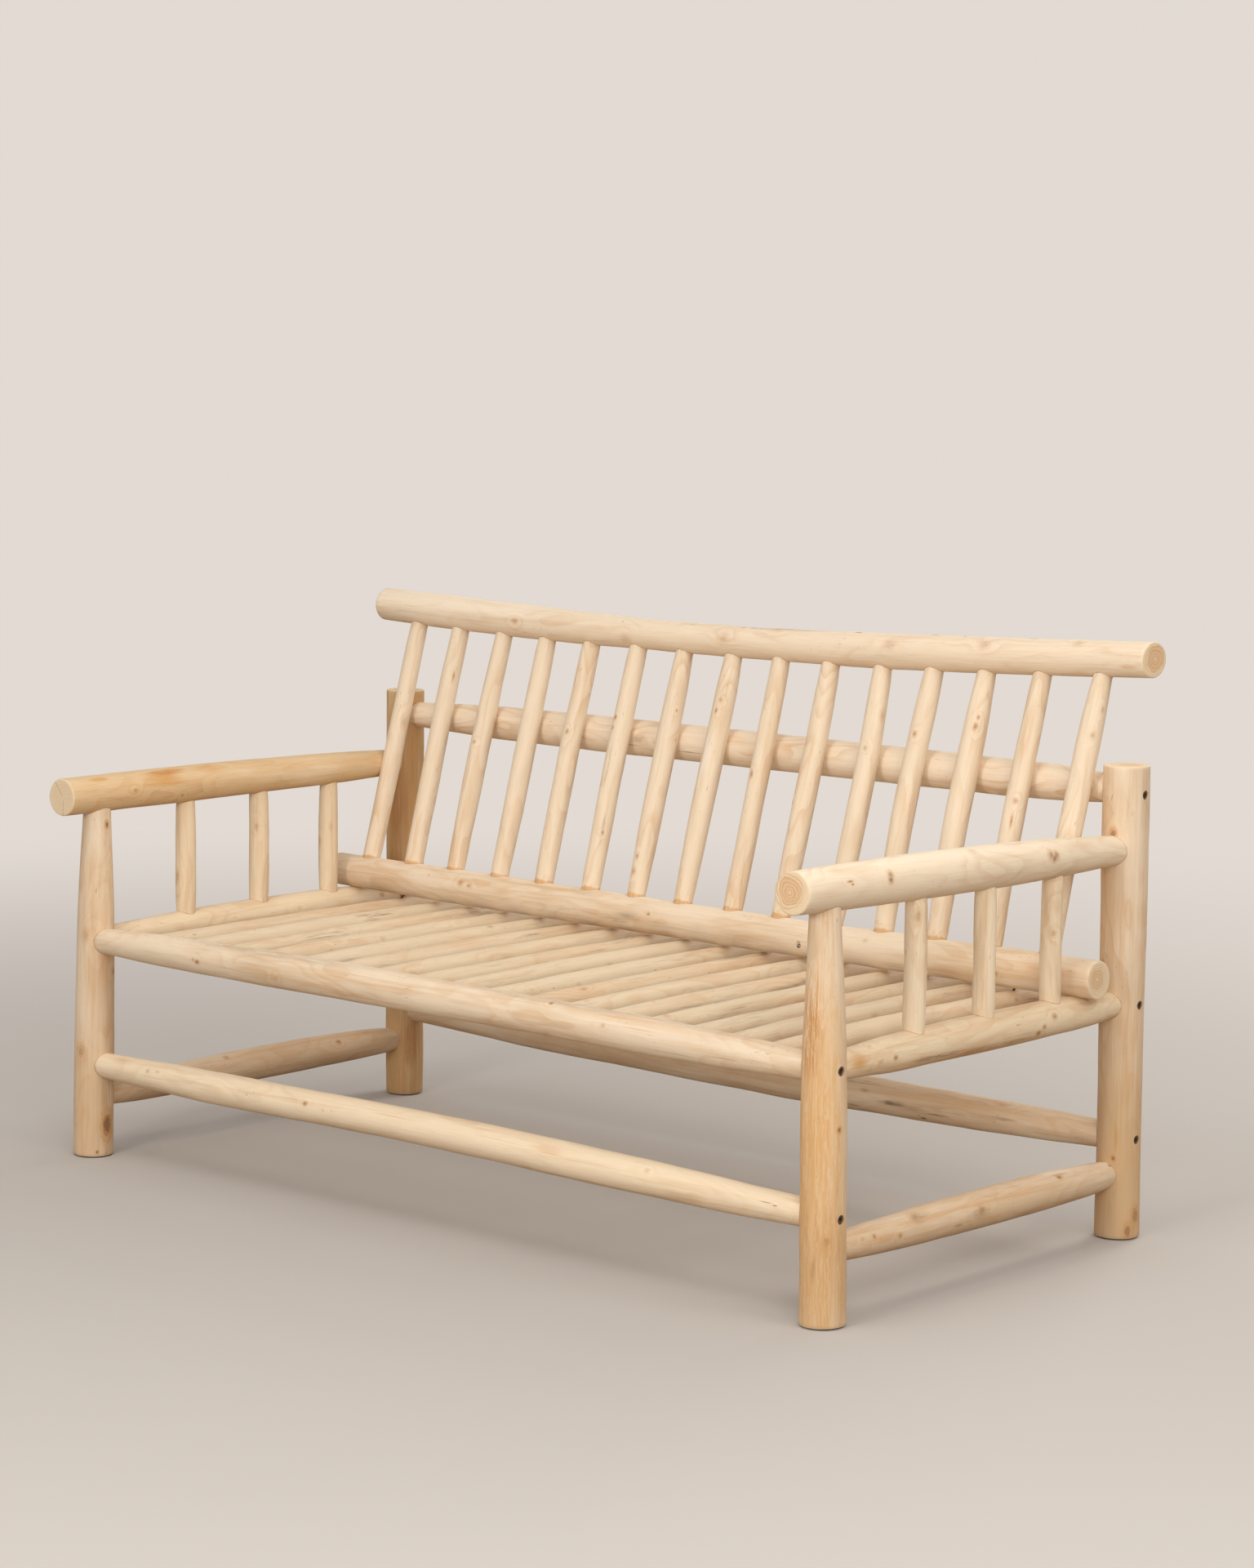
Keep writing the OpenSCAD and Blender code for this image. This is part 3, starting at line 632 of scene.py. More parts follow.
def speckled(name, tones, roughness, waves, detail=3, tone_waves=None, edges=None, metallic=0.0, bump=None):
    """A material that noise varies between two tones, and between two roughnesses."""
    n = Material(name)
    where = n.position()
    fine = n.noise(where, (waves, waves, waves), detail)
    share = n.noise(where, (tone_waves, tone_waves, tone_waves)) if tone_waves else fine
    if edges:
        share = n.rise(share, *edges)
    n.set("Base Color", n.mix(share, srgb(*tones[0]), srgb(*tones[1])))
    n.set("Roughness", n.rise(fine, 0.3, 0.7, *roughness))
    n.set("Metallic", metallic)
    if bump:
        n.set("Normal", n.bump(fine, *bump))
    return n.material


def glue():
    return speckled("joint_line", ((158, 112, 70), (206, 162, 112)), (0.45, 0.7), 70, edges=(0.35, 0.65))


def steel(name, tones, metallic):
    return speckled(name, tones, (0.36, 0.55), 900, tone_waves=300, edges=(0.42, 0.66),
                    metallic=metallic, bump=(0.15, 0.0003))


def brass():
    return speckled("insert_brass", ((201, 168, 92), (168, 132, 66)), (0.28, 0.45), 800, metallic=1.0)


def glide_plastic():
    return speckled("glide_plastic", ((52, 47, 43), (74, 66, 59)), (0.6, 0.8), 600, detail=4,
                    bump=(0.3, 0.0004))


# Side frames

# Where the leg's surface lies at each bolt, by (side, y, z)
BOLT_FACES = {}


def add_leg(log, side, y, levels):
    """Adds a leg with a counterbore for the head of the bolt at each level."""
    holes = []
    for z in levels:
        face = abs(log.point(z - GLIDE_H, math.pi / 2 * side).x)
        BOLT_FACES[(side, y, z)] = face
        floor = (side * (face - BOLT_RECESS - BOLT_HEAD_H), y, z)
        holes.append((floor, (side, 0, 0), BOLT_HEAD_R + BOLT_CLEARANCE, HOLE_LENGTH["bolt"]))
    add_log(log, "legs", holes)


def make_front_legs():
    # A leg leans a little, so its foot and its top lie some mm off its place
    left = Log(
        "post_front_left", (-LEG_X - 6, FRONT_Y, GLIDE_H), (-LEG_X + 5, FRONT_Y + 4, ARM_BACK_Z + 13.7),
        through({0: 65, 0.25: 63.8, 0.45: 61.8, 0.58: 60.5, 0.65: 59, 0.72: 56.2, 0.79: 52.8, 0.86: 48.6,
                 0.94: 44, 1: 43}),
        FRONT, RIGHT, 10, sides=64, step=6, lump=0.8, sawn=(Sawn(), None), bevel=2,
        knots=[(51, 91, 9.5, 1.6, 0.65, 2.2), (171, 8, 7, 0.5, 0.25, 1.6), (361, 16, 6.5, 0.5, 0.15, 1.5),
               (538, 95, 3.5, 0.5, 0.7, 1.6), (300, 120, 4, 0.5, 0.3), (250, 220, 7, 0.8, 0.5, 1.5),
               (8, 60, 2.2, 0.2, 0.7)],
        stains=[(330, 75, 14, 60, 0.35), (120, -30, 9, 70, 0.4, ORANGE, 0.7),
                # The thin brown lines at 80, 89 and 98 degrees are painted shade in the three grooves
                (51, 91, 14, 30, 0.35, BROWN), (112, 80, 1.3, 42, 0.85, BROWN),
                (104, 89, 1.6, 36, 0.9, BROWN), (120, 98, 1.3, 45, 0.8, BROWN),
                # The honey patch at the foot is partly painted shade towards the floor
                (60, 40, 70, 190, 0.4, HONEY_AND_FOOT_SHADE)],
        grooves=[(68, 150, 78, 2.4, 1.1), (66, 135, 88, 2.4, 1.3), (70, 160, 98, 2.4, 0.9)], amber=0.1,
        streaks=0.3, tan_share=0.55, lines=0.35, grey=0.05)
    right = Log(
        "post_front_right", (LEG_X + 3.5, FRONT_Y, GLIDE_H), (LEG_X - 4, FRONT_Y, ARM_BACK_Z + 21),
        through({0: 65, 0.25: 63, 0.45: 63.3, 0.58: 60.5, 0.65: 58.6, 0.72: 54.7, 0.79: 51.4, 0.86: 47,
                 0.94: 43.2, 1: 43}),
        FRONT, RIGHT, 12, sides=64, step=6, lump=0.8, sawn=(Sawn(), None), bevel=2,
        knots=[(271, 80, 3.2, 0.6, 0.65), (120, 48, 5, 0.5, 0.25, 1.6), (330, 190, 5, 0.6, 0.5),
               (500, 150, 4, 0.6, 0.4)],
        stains=[(200, 20, 80, 340, 0.6, (219, 179, 126)), (240, 0, 62, 290, 0.75, (212, 160, 98), 0.85),
                (405, -8, 24, 90, 0.7, (190, 128, 62), 0.92), (80, 30, 55, 110, 0.5, (190, 132, 74), 0.9),
                # The honey patch at the foot is partly painted shade towards the floor
                (60, 40, 80, 130, 0.5, HONEY_AND_FOOT_SHADE), (82, 14, 4.5, 30, 0.6, (150, 114, 72), 0.3),
                (140, -24, 1.2, 14, 0.8, BROWN), (255, -10, 1.0, 9, 0.8, BROWN)],
        amber=0.2, streaks=0.45, lines=0.3, tan_share=0.5, flecks=0.4)
    for side, leg in ((-1, left), (1, right)):
        add_leg(leg, side, FRONT_Y, (SEAT_Z, LONG_STRETCHER_Z))


def make_back_legs():
    # This leg's browner, darker tan and cream are partly its own wood and partly painted shade, as it stands
    # in shade
    left = Log(
        "post_back_left", (-LEG_X + 4, BACK_Y, GLIDE_H), (-LEG_X + 3, BACK_Y, BACK_LEG_TOP[-1]),
        through({0: 63, 0.1: 64.5, 0.5: 64, 1: 65}), FRONT, RIGHT, 20, sides=64, step=7,
        sawn=(Sawn(), Sawn((5, -3), 0.5)), bevel=2, random_knots=5,
        stains=[(380, 20, 30, 60, 0.7, RUST, 0.3), (90, 60, 22, 60, 0.6, RUST, 0.4),
                (520, 10, 26, 90, 0.5, RUST, 0.5)],
        amber=0.2, streaks=0.5, tan_share=0.8, lines=0.5, tan=(200, 161, 112), cream=(226, 196, 155))
    right = Log(
        "post_back_right", (LEG_X + 4, BACK_Y, GLIDE_H), (LEG_X, BACK_Y, BACK_LEG_TOP[1]),
        through({0: 66.5, 0.2: 64.8, 0.4: 65, 0.6: 66.3, 0.78: 68.4, 1: 69}), FRONT, RIGHT, 22, sides=64,
        step=6, sawn=(Sawn(), Sawn((-4, 3), 0.5)), bevel=2, random_knots=3,
        knots=[(606, 3, 5.5, 0.7, 0.5, 1.2), (122, 21, 3, 0.3, 0.6), (34, 88, 8, 1.2, 0.35, 1.6),
               (12, 62, 6, 0.8, 0.45, 1.8)],
        grooves=[(4, 44, 84, 0.7, 1.3), (18, 60, 97, 0.8, 1.0)],
        # The honey patch at the foot is partly painted shade towards the floor
        stains=[(20, 80, 16, 40, 0.4), (70, 50, 80, 260, 0.8, HONEY_AND_FOOT_SHADE), (150, 28, 3, 26, 0.6, ORANGE),
                (560, -46, 1.5, 110, 0.6, BROWN)],
        amber=0.06, streaks=0.35, tan_share=0.5, lines=0.3, grey=0.05)
    for side, leg in ((-1, left), (1, right)):
        add_leg(leg, side, BACK_Y, (SEAT_Z, LONG_STRETCHER_Z, UPPER_BOLT_Z))


def arm_ends(side, dip):
    """An armrest's front and back end. The back end, in the leg, may lie lower by a dip."""
    # The front end turns inwards, and stays within the CAD model's, as its surface is uneven
    inwards, trim = 5, 0.4
    # What share of its rise an armrest has at its back end
    share = 0.021
    tip = (side * (LEG_X - inwards), FRONT_Y - ARM_OVERHANG + trim, ARM_BACK_Z + ARM_RISE[side])
    return tip, (side * LEG_X, BACK_Y - ARM_TENON_END, ARM_BACK_Z + ARM_RISE[side] * share - dip)


def make_armrests():
    add_log(Log(
        "armrest_left", *arm_ends(-1, 0),
        through({0: 60, 0.2: 60, 0.43: 59.5, 0.55: 57.5, 0.68: 55, 0.79: 52.5, 0.92: 47.2, 1: 43}), RIGHT,
        UP, 30, sides=64, step=6, lump=0.8, sawn=(Sawn((4, -1), 0.0, (128, 268), 0.2, 1.0), None),
        bevel=2.2, bends=[(90, 1.2, 1)],
        knots=[(447, -7, 3.6, 0.7, 0.0, 1.4), (128, 5, 3, 0.3, 0.35, 1.4), (232, -28, 2.5, 0.3, 0.3),
               (560, 200, 4, 0.6, 0.4)],
        stains=[(188, 34, 17, 52, 0.9, ORANGE, 0.35), (205, 56, 12, 44, 0.9, (190, 124, 58), 0.5),
                (62, 56, 8, 20, 0.8, ORANGE, 0.3), (300, 55, 13, 45, 0.5, ORANGE, 0.3),
                (160, 120, 14, 50, 0.5, ORANGE, 0.4)],
        tan_share=0.8, amber=0.08, lines=0.4, tan=(221, 188, 143), grey=0.1), "armrests")
    # Pairs of knots grown together make a heart and a figure eight
    add_log(Log(
        "armrest_right", *arm_ends(1, 3.8),
        through({0: 60, 0.2: 64, 0.38: 65.2, 0.62: 63, 0.74: 59.4, 0.8: 56.8, 0.86: 53, 0.92: 48.8,
                 1: 43}),
        RIGHT, UP, 32, sides=64, step=6, lump=0.8, sawn=(Sawn((-4, 2), 0.7, (), 0.6, 0.4), None),
        bevel=2.2, bends=[(90, 0.8, 1)],
        knots=[(172, 24, 5.4, 0.6, 0.4, 1.0), (171, 13, 4.4, 0.5, 0.5, 1.0),
               (544, 21, 6.2, 0.6, 0.4, 1.0), (556, 19, 6.2, 0.6, 0.4, 1.0),
               (550, 11, 4.6, 0.4, 0.55, 1.0), (86, 22, 1.6, 0.2, 0.5, 3.0), (90, 14, 1.2, 0.2, 0.7, 2.0),
               (372, 60, 5, 0.8, 0.1, 1.5)],
        stains=[(95, 55, 9, 60, 0.25), (620, 40, 12, 60, 0.25)],
        tan_share=0.2, lines=0.24, amber=0.03, grey=0.03, streaks=0.2, cream=(244, 224, 195)), "armrests")


def make_arm_spindles():
    for side in (-1, 1):
        belly = 33.5 if side < 0 else 32.5
        cream = (235, 213, 180) if side < 0 else (243, 223, 192)
        for i in (1, 2, 3):
            y = FRONT_Y + ARM_SPINDLE_FIRST + ARM_SPINDLE_PITCH * (i - 1)
            top = ARM_BACK_Z + ARM_RISE[side] * (BACK_Y - y) / ARM_LENGTH - ARM_SOCKET_FLOOR
            crook = {(-1, 2): (180, 1.6, 1), (1, 2): (30, 2.0, 1)}.get((side, i), (90 * i, 0.9, 1))
            add_log(Log(
                "arm_spindle_%s_%d" % (SIDE_NAME[side], i), (side * LEG_X, y, SEAT_Z + SOCKET_FLOOR),
                (side * LEG_X, y, top),
                through({0: 29.5, 0.13: 32, 0.35: belly, 0.75: 32, 1: 29.5}), FRONT, RIGHT,
                40 + 5 * side + i, sides=40, step=6, lump=0.9, whittled=16, bends=[crook], random_knots=3,
                tan_share=0.3 + 0.1 * (i == 2), grey=0.1, cream=cream), "spindles")


# What the side seat rail and side stretcher on the right show. The ones on the left are plainer
RIGHT_RAIL_KNOTS = [
    (102, 0, 3, 0.3, 0.5), (436, -26, 4, 0.5, 0.5), (447, -8, 3, 0.4, 0.4),
    (473, 17, 4, 0.4, 0.35), (60, 60, 3, 0.3, 0.1),
]
RIGHT_RAIL_STAINS = [
    (190, -27, 7, 85, 0.65, BROWN, 0.95), (330, -40, 9, 150, 0.4, BROWN, 0.9),
    (300, -45, 12, 260, 0.5, AMBER, 0.4), (28, 12, 16, 24, 0.75, ORANGE),
]
LEFT_STRETCHER_KNOTS = [(502, 38, 3.5, 0.4, 0.5), (250, 60, 4, 0.5, 0.3)]
RIGHT_STRETCHER_KNOTS = [
    (162, 51, 7, 0.7, 0.22, 1.3), (305, 14, 7, 0.7, 0.3, 1.2), (67, 23, 3, 0.3, 0.4),
    (121, 2, 3.4, 0.3, 0.35), (507, 51, 3, 0.3, 0.6, 2), (643, 54, 2.2, 0.2, 0.5),
]
RIGHT_STRETCHER_STAINS = [
    (170, 42, 10, 26, 0.5, GREY, 0.5), (300, 5, 9, 24, 0.4, GREY, 0.5), (90, 12, 9, 40, 0.4),
    (253, -14, 4, 14, 0.6, RUST, 0.5), (512, 60, 4, 26, 0.5, SMUDGE, 0.5),
]


def side_rail(name, side, front_z, back_z, diameter, seed, **more):
    """Adds a rail from the front leg to the back leg of one side."""
    add_log(Log(
        name + SIDE_NAME[side], (side * LEG_X, FRONT_Y + SIDE_RAIL_END, front_z),
        (side * LEG_X, BACK_Y - SIDE_RAIL_END, back_z), diameter, RIGHT, UP, seed + side, random_knots=4,
        **more), "rails")


def make_side_seat_rails():
    for side in (-1, 1):
        side_rail(
            "side_seat_rail_", side, SEAT_Z, SEAT_Z,
            through({0: 38, 0.03: 38 + 1.5 * (1 + side), 0.09: 43.5 + 1.5 * side, 0.18: 49 + 2 * side,
                     0.4: 53.5 + 0.5 * side, 0.65: 54, 0.8: 52, 0.9: 47.5, 0.97: 41, 1: 38}),
            53, lump=0.9, bends=[(90, 1.5, 1)], knots=RIGHT_RAIL_KNOTS if side > 0 else (),
            stains=RIGHT_RAIL_STAINS if side > 0 else (), tan_share=0.4, grey=0.06, cream=(237, 215, 181))


def make_side_stretchers():
    for side in (-1, 1):
        front_lift, back_lift, arch = (3.4, -1.6, 0.6) if side > 0 else (-0.4, 0.4, 2.6)
        side_rail(
            "side_stretcher_", side, SIDE_STRETCHER_Z + front_lift, SIDE_STRETCHER_Z + back_lift,
            through({0: 38, 0.03: 40, 0.09: 45, 0.2: 48.4, 0.33: 52.3, 0.5: 54.6, 0.7: 54, 0.86: 49.2,
                     0.95: 44, 1: 38}),
            63, lump=1.0, bends=[(90, arch, 1)],
            knots=RIGHT_STRETCHER_KNOTS if side > 0 else LEFT_STRETCHER_KNOTS,
            stains=RIGHT_STRETCHER_STAINS if side > 0 else (), tan_share=0.65, grey=0.15, amber=0.2)


# Cross rails and slats

def long_rail(name, y, z, diameter, seed, holes=(), **more):
    """Adds a rail between the two side frames."""
    rail = Log(name, (-RAIL_END_X, y, z), (RAIL_END_X, y, z), diameter, FRONT, UP, seed, **more)
    add_log(rail, "rails", holes)


def make_seat_rails():
    long_rail(
        "front_seat_rail", FRONT_Y, SEAT_Z,
        through({0: 40, 0.02: 42, 0.1: 49, 0.2: 52.8, 0.3: 55, 0.45: 55.5, 0.52: 53.8, 0.63: 52.2,
                 0.74: 52.2, 0.79: 52.8, 0.9: 49.2, 0.98: 40.5, 1: 39}),
        51, lump=0.9, bends=[(90, 3.8, 1)], random_knots=4,
        knots=[(253, -6, 3, 0.4, 0.6, 1.5), (244, 0, 2.2, 0.3, 0.3), (432, -14, 4, 0.5, 0.1),
               (987, 68, 2.8, 0.4, 0.55), (1100, 20, 3, 0.3, 0.15)],
        # The long grey streaks at 75 and 82 degrees are painted shade along the rail's top edge
        stains=[(653, 44, 18, 70, 0.45, CREAM), (420, 75, 14, 240, 0.35, GREY, 0.7),
                (1050, 82, 11, 380, 0.4, GREY, 0.7), (1150, 60, 12, 180, 0.35, AMBER, 0.5),
                (1314, -14, 1.4, 70, 0.5, BROWN, 0.6), (1220, -30, 1.4, 60, 0.4, BROWN, 0.6),
                (1163, 28, 1.2, 45, 0.5, ORANGE)],
        tan_share=0.38, grey=0.08, flecks=0.35)
    long_rail(
        "rear_seat_rail", BACK_Y, SEAT_Z, swell(40, 52, 40, 0.45), 52, sides=48, step=9, lump=0.9,
        random_knots=9, tan_share=0.6)


def make_long_stretchers():
    long_rail(
        "front_stretcher", FRONT_Y, LONG_STRETCHER_Z,
        through({0: 40, 0.02: 41.5, 0.1: 47, 0.2: 50.5, 0.42: 49.3, 0.58: 51, 0.7: 51, 0.79: 50.2,
                 0.9: 46, 0.98: 41, 1: 40}),
        61, lump=0.8, bends=[(90, 4.8, 1), (90, -0.7, 2), (90, -1.2, 3)], random_knots=2,
        knots=[(130, 28, 2.8, 0.35, 0.2), (152, 33, 1.6, 0.2, 0.15, 2.4), (364, 14, 1.6, 0.25, 0.25),
               (493, 21, 3.4, 0.45, 0.45), (533, 10, 1.6, 0.25, 0.15), (552, 14, 1.2, 0.2, 0.15),
               (1180, 40, 3, 0.3, 0.1)],
        stains=[(990, 36, 10, 40, 0.3), (60, 55, 9, 30, 0.3), (925, 31, 0.9, 75, 0.7, BROWN),
                (1000, 23, 1.4, 40, 0.6, ORANGE, 0.4), (677, 36, 1.0, 60, 0.5, ORANGE),
                (1396, 23, 1.0, 14, 0.6, BROWN), (1412, 18, 1.3, 6, 0.8, BROWN)],
        tan_share=0.22, cream=(242, 220, 188), grey=0.03, lines=0.14, flecks=0.15)
    long_rail(
        "rear_stretcher", BACK_Y, LONG_STRETCHER_Z,
        through({0: 39, 0.03: 39.5, 0.08: 42.5, 0.13: 46.5, 0.23: 52, 0.4: 54, 0.5: 57, 0.62: 58.5,
                 0.72: 55.5, 0.82: 53, 0.88: 50.5, 0.93: 47.5, 0.97: 43, 1: 41}),
        62, lump=0.9, bends=[(90, -4.6, 1)], random_knots=4,
        stains=[(1023, 24, 4.5, 17, 0.6, SMUDGE, 0.5), (1073, -3, 3.5, 10, 0.55, SMUDGE),
                (1079, -4, 5.5, 28, 0.6, SMUDGE, 0.6), (995, -32, 4, 26, 0.6, SMUDGE, 0.8),
                (1022, -52, 4, 28, 0.5, SMUDGE, 0.8), (1160, -18, 3.5, 32, 0.6, SMUDGE, 0.8),
                (1135, -42, 3, 7, 0.8, BROWN), (1228, -62, 3, 20, 0.7, BROWN, 0.5),
                (1290, 8, 3, 40, 0.4, SMUDGE, 0.9), (1010, 50, 6, 60, 0.4, SMUDGE, 0.9)],
        tan_share=0.6, grey=0.22, flecks=0.5)


def slat_x(i):
    return SLAT_X * (2 * (i - 1) / (SLAT_COUNT - 1) - 1)


def make_slats():
    for i in range(1, SLAT_COUNT + 1):
        dice = random.Random(200 + i)
        thick = 40 + dice.uniform(-1.5, 1.5)
        # Their darkened cream, tan shares, heavy grey and extra flecks are partly painted shade, for the
        # shade that falls between the slats
        add_log(Log(
            "seat_slat_%02d" % i, (slat_x(i), FRONT_Y + SOCKET_FLOOR, SEAT_Z),
            (slat_x(i), BACK_Y - SOCKET_FLOOR, SEAT_Z), swell(23, thick, 23, 0.3), RIGHT, UP, 200 + i,
            sides=40, step=9, lump=1.1, random_knots=4,
            bends=[(0, dice.uniform(-2.5, 2.5), 1), (90, dice.uniform(-1, 1.5), 1)],
            tan_share=dice.uniform(0.2, 0.55), grey=dice.uniform(0.2, 0.6), flecks=0.4,
            amber=dice.uniform(0.03, 0.12), cream=(226, 205, 174)), "slats")


# Backrest

# Every backrest screw: where its head sits, which way it faces, and its length in mm
SCREWS = []


def add_screw(seat, way, length):
    """Notes a screw, and gives the hole that its head sinks into."""
    SCREWS.append((seat, way, length))
    return (seat, way, SCREW_HEAD_R + SCREW_CLEARANCE, HOLE_LENGTH["screw"])


def slat_screw(x, side, radius):
    """A slanting screw through the bottom rail into a slat, on the rail's front or back."""
    slope = math.radians(45)
    entry = math.radians(11)
    # The rail's bend lowers it by about this much, and the head sinks in this deep
    sag, sink = 2, 4
    way = Vector((0, side * math.sin(slope), math.cos(slope)))
    face = Vector((x, LADDER_Y + side * radius * math.cos(entry),
                   LADDER_Z - sag - radius * math.sin(entry)))
    return add_screw(face - way * sink, way, SLAT_SCREW)


def spindle_x(i):
    return FIRST_SPINDLE_X + (LAST_SPINDLE_X - FIRST_SPINDLE_X) * (i - 1) / (SPINDLE_COUNT - 1)


def ladder_run(x):
    """From the bottom rail's axis up to the sagging top rail's axis."""
    return (LADDER_HEIGHT + TOP_RAIL_SLOPE * x / (2 * TOP_RAIL_HALF)
            - TOP_RAIL_SAG * math.cos(math.pi * x / (2 * TOP_RAIL_HALF)))


def make_upper_rail():
    thickness = through({0: 41, 0.03: 45, 0.08: 51, 0.15: 56, 0.23: 58.5, 0.3: 60, 0.45: 59.5, 0.6: 59,
                         0.75: 57.8, 0.87: 56.5, 0.93: 54, 0.97: 48, 1: 42})
    # It bows back, so that the spindles lie against its front all along. The screws' heads sink in
    bow, sink = 3, 1
    holes = []
    for i in (2, SPINDLE_COUNT - 1):
        t = (spindle_x(i) + RAIL_END_X) / (2 * RAIL_END_X)
        depth = bow * math.sin(math.pi * t) + thickness(t) / 2 - sink
        seat = Vector((spindle_x(i), BACK_Y + depth, UPPER_RAIL_Z))
        holes.append(add_screw(seat, Vector(BACK), SPINDLE_SCREW))
    long_rail(
        "upper_back_rail", BACK_Y, UPPER_RAIL_Z, thickness, 71, holes=holes, lump=0.8,
        bends=[(180, bow, 1)], knots=[(553, 5, 7, 0.6, 0.14, 1.4)], random_knots=3,
        stains=[(541, 2, 9, 16, 0.5, GREY, 0.6), (653, -22, 1.3, 34, 0.6, BROWN, 0.4),
                (530, -18, 1.3, 20, 0.6, BROWN, 0.4)],
        tan_share=0.25, lines=0.4, amber=0.05, grey=0.06, cream=(240, 221, 195))


def make_bottom_rail():
    thickness = through({0: 54, 0.06: 55, 0.2: 58, 0.28: 57, 0.4: 57.5, 0.5: 56.5, 0.6: 57.5,
                         0.67: 54.5, 0.77: 57.5, 0.85: 56.8, 0.93: 58, 1: 56.5})
    holes = []
    for x, side in ((slat_x(1), 1), (FRONT_SCREW_X, -1), (slat_x(17), 1)):
        holes.append(slat_screw(x, side, thickness((x + BOTTOM_RAIL_HALF) / (2 * BOTTOM_RAIL_HALF)) / 2))
    add_log(Log(
        "backrest_bottom_rail", (-BOTTOM_RAIL_HALF, LADDER_Y, LADDER_Z),
        (BOTTOM_RAIL_HALF, LADDER_Y, LADDER_Z), thickness, FRONT, UP, 72,
        sawn=(Sawn(), Sawn((5, 2), 0.6, (), 0.35, 0.8)), bends=[(90, -3, 1)], random_knots=5,
        knots=[(317, 26, 4.5, 0.5, 0.3), (337, 20, 3, 0.3, 0.35), (734, 17, 2.2, 0.3, 0.45),
               (1415, -11, 3.4, 0.4, 0.4)],
        stains=[(690, 0, 9, 34, 0.55, GREY, 0.6), (660, -18, 5, 30, 0.45, SMUDGE, 0.8)],
        tan_share=0.4, amber=0.08), "rails", holes)


class TopRail(Log):
    """The backrest's top rail, whose axis sags."""

    def centre(self, s):
        x = s - TOP_RAIL_HALF
        return Vector((x, LADDER_Y, LADDER_Z)) + LADDER_UP * ladder_run(x)


def make_top_rail():
    # Its sagging axis takes the place of the line between these ends, of which only x matters
    add_log(TopRail(
        "backrest_top_rail", (-TOP_RAIL_HALF, LADDER_Y, LADDER_Z),
        (TOP_RAIL_HALF - TOP_RAIL_SHORT, LADDER_Y, LADDER_Z),
        through({0: 55, 0.1: 57.5, 0.2: 56.5, 0.27: 55, 0.38: 50.5, 0.48: 50.4, 0.57: 51, 0.66: 55,
                 0.76: 56, 0.9: 54.8, 1: 53}),
        FRONT, UP, 73, lump=0.8, bevel=2.2, slant=TOP_RAIL_SLANT, random_knots=4,
        sawn=(Sawn(), Sawn((-2, 2), 0.75, (), 0.6, 0.3)),
        knots=[(335, 5, 4, 0.4, 0.25, 1.6), (582, -21, 7, 0.6, 0.1, 1.3), (791, 16, 7.5, 0.7, 0.12, 1.2),
               (1124, 24, 7, 0.6, 0.1, 1.4), (1299, 38, 6.5, 0.6, 0.12, 1.3),
               (1465, 58, 6, 0.5, 0.12, 1.3)],
        stains=[(1050, 77, 2.2, 10, 0.8, BROWN), (1194, 84, 2.4, 12, 0.85, BROWN),
                (1376, 84, 2.2, 16, 0.7, SMUDGE), (880, 80, 8, 130, 0.4, SMUDGE, 0.9),
                # The pale patch on the left part is partly the wood's paler tone and partly painted light
                # that brightens it
                (1560, -20, 6, 16, 0.5, ORANGE, 0.5), (190, 30, 50, 260, 0.6, (248, 229, 203))],
        tan_share=0.12, grey=0.15, flecks=0.4, amber=0.03, cream=(240, 219, 191)), "rails")


# How each back spindle differs: middle thickness, foot and head off their places, and bow, in mm
SPINDLES = (
    (31.5, -11, -1, 0), (33, -8, -2, -3), (33, -10, 0, -3), (33.5, -9, -1, 0), (33, -8, -1, -3),
    (32.5, -5, 1, -2.5), (35, -7, 0, -1.5), (35.5, -9, 3, -1), (32, -5, 0, 0), (35, -8, 0, 1),
    (34, -6, 0, 6), (35, -6, 0, -7), (36.5, -7, -3, -4.5), (33.5, -6, -2, -6), (36, -3, 5, -6),
)

# Their knots and marks, by number from the left
SPINDLE_KNOTS = {
    2: [(343, 60, 2, 0.2, 0.38, 4)],
    3: [(235, 1, 2.6, 0.4, 0.3, 1.2)],
    4: [(222, -42, 2, 0.3, 0.52, 3), (205, -44, 1.6, 0.2, 0.45, 2)],
    5: [(269, 9, 2.8, 0.5, 0.3, 1.3)],
    6: [(301, -13, 2.2, 0.3, 0.49, 1.6), (283, -18, 1.6, 0.2, 0.45, 2), (112, 50, 2, 0.2, 0.45, 1.5)],
    7: [(323, 60, 1.6, 0.2, 0.38), (81, -1, 2, 0.2, 0.45, 1.6), (56, -12, 3.6, 0.5, 0.26, 1.2)],
    8: [(346, 19, 2.6, 0.3, 0.3), (328, 6, 2.2, 0.3, 0.45, 1.8)],
    9: [(233, -8, 3, 0.4, 0.38, 2)],
    10: [(197, -40, 2.6, 0.3, 0.45, 1.4)],
    11: [(293, 15, 2.8, 0.4, 0.2, 1.2)],
    12: [(322, 9, 2.8, 0.4, 0.38, 1.4)],
    13: [(343, 35, 3.4, 0.6, 0.41, 1.5), (357, 40, 2, 0.2, 0.45, 1.6)],
    14: [(238, 31, 4.0, 0.6, 0.22, 1.0), (207, 30, 1.8, 0.3, 0.45, 5)],
    15: [(347, 46, 3.2, 0.4, 0.22, 1.5)],
}
SPINDLE_STAINS = {
    6: [(225, 5, 2.5, 45, 0.35, SMUDGE, 0.9), (118, 48, 3, 26, 0.4, SMUDGE, 0.9)],
    8: [(250, 0, 9, 55, 0.6, (246, 234, 217))],
    11: [(212, 86, 1.2, 36, 0.6, RUST)],
}
# An orange rim where each spindle's foot enters the bottom rail
FOOT_RIM = (18, 0, 60, 5.5, 0.8, ORANGE, 0.3)


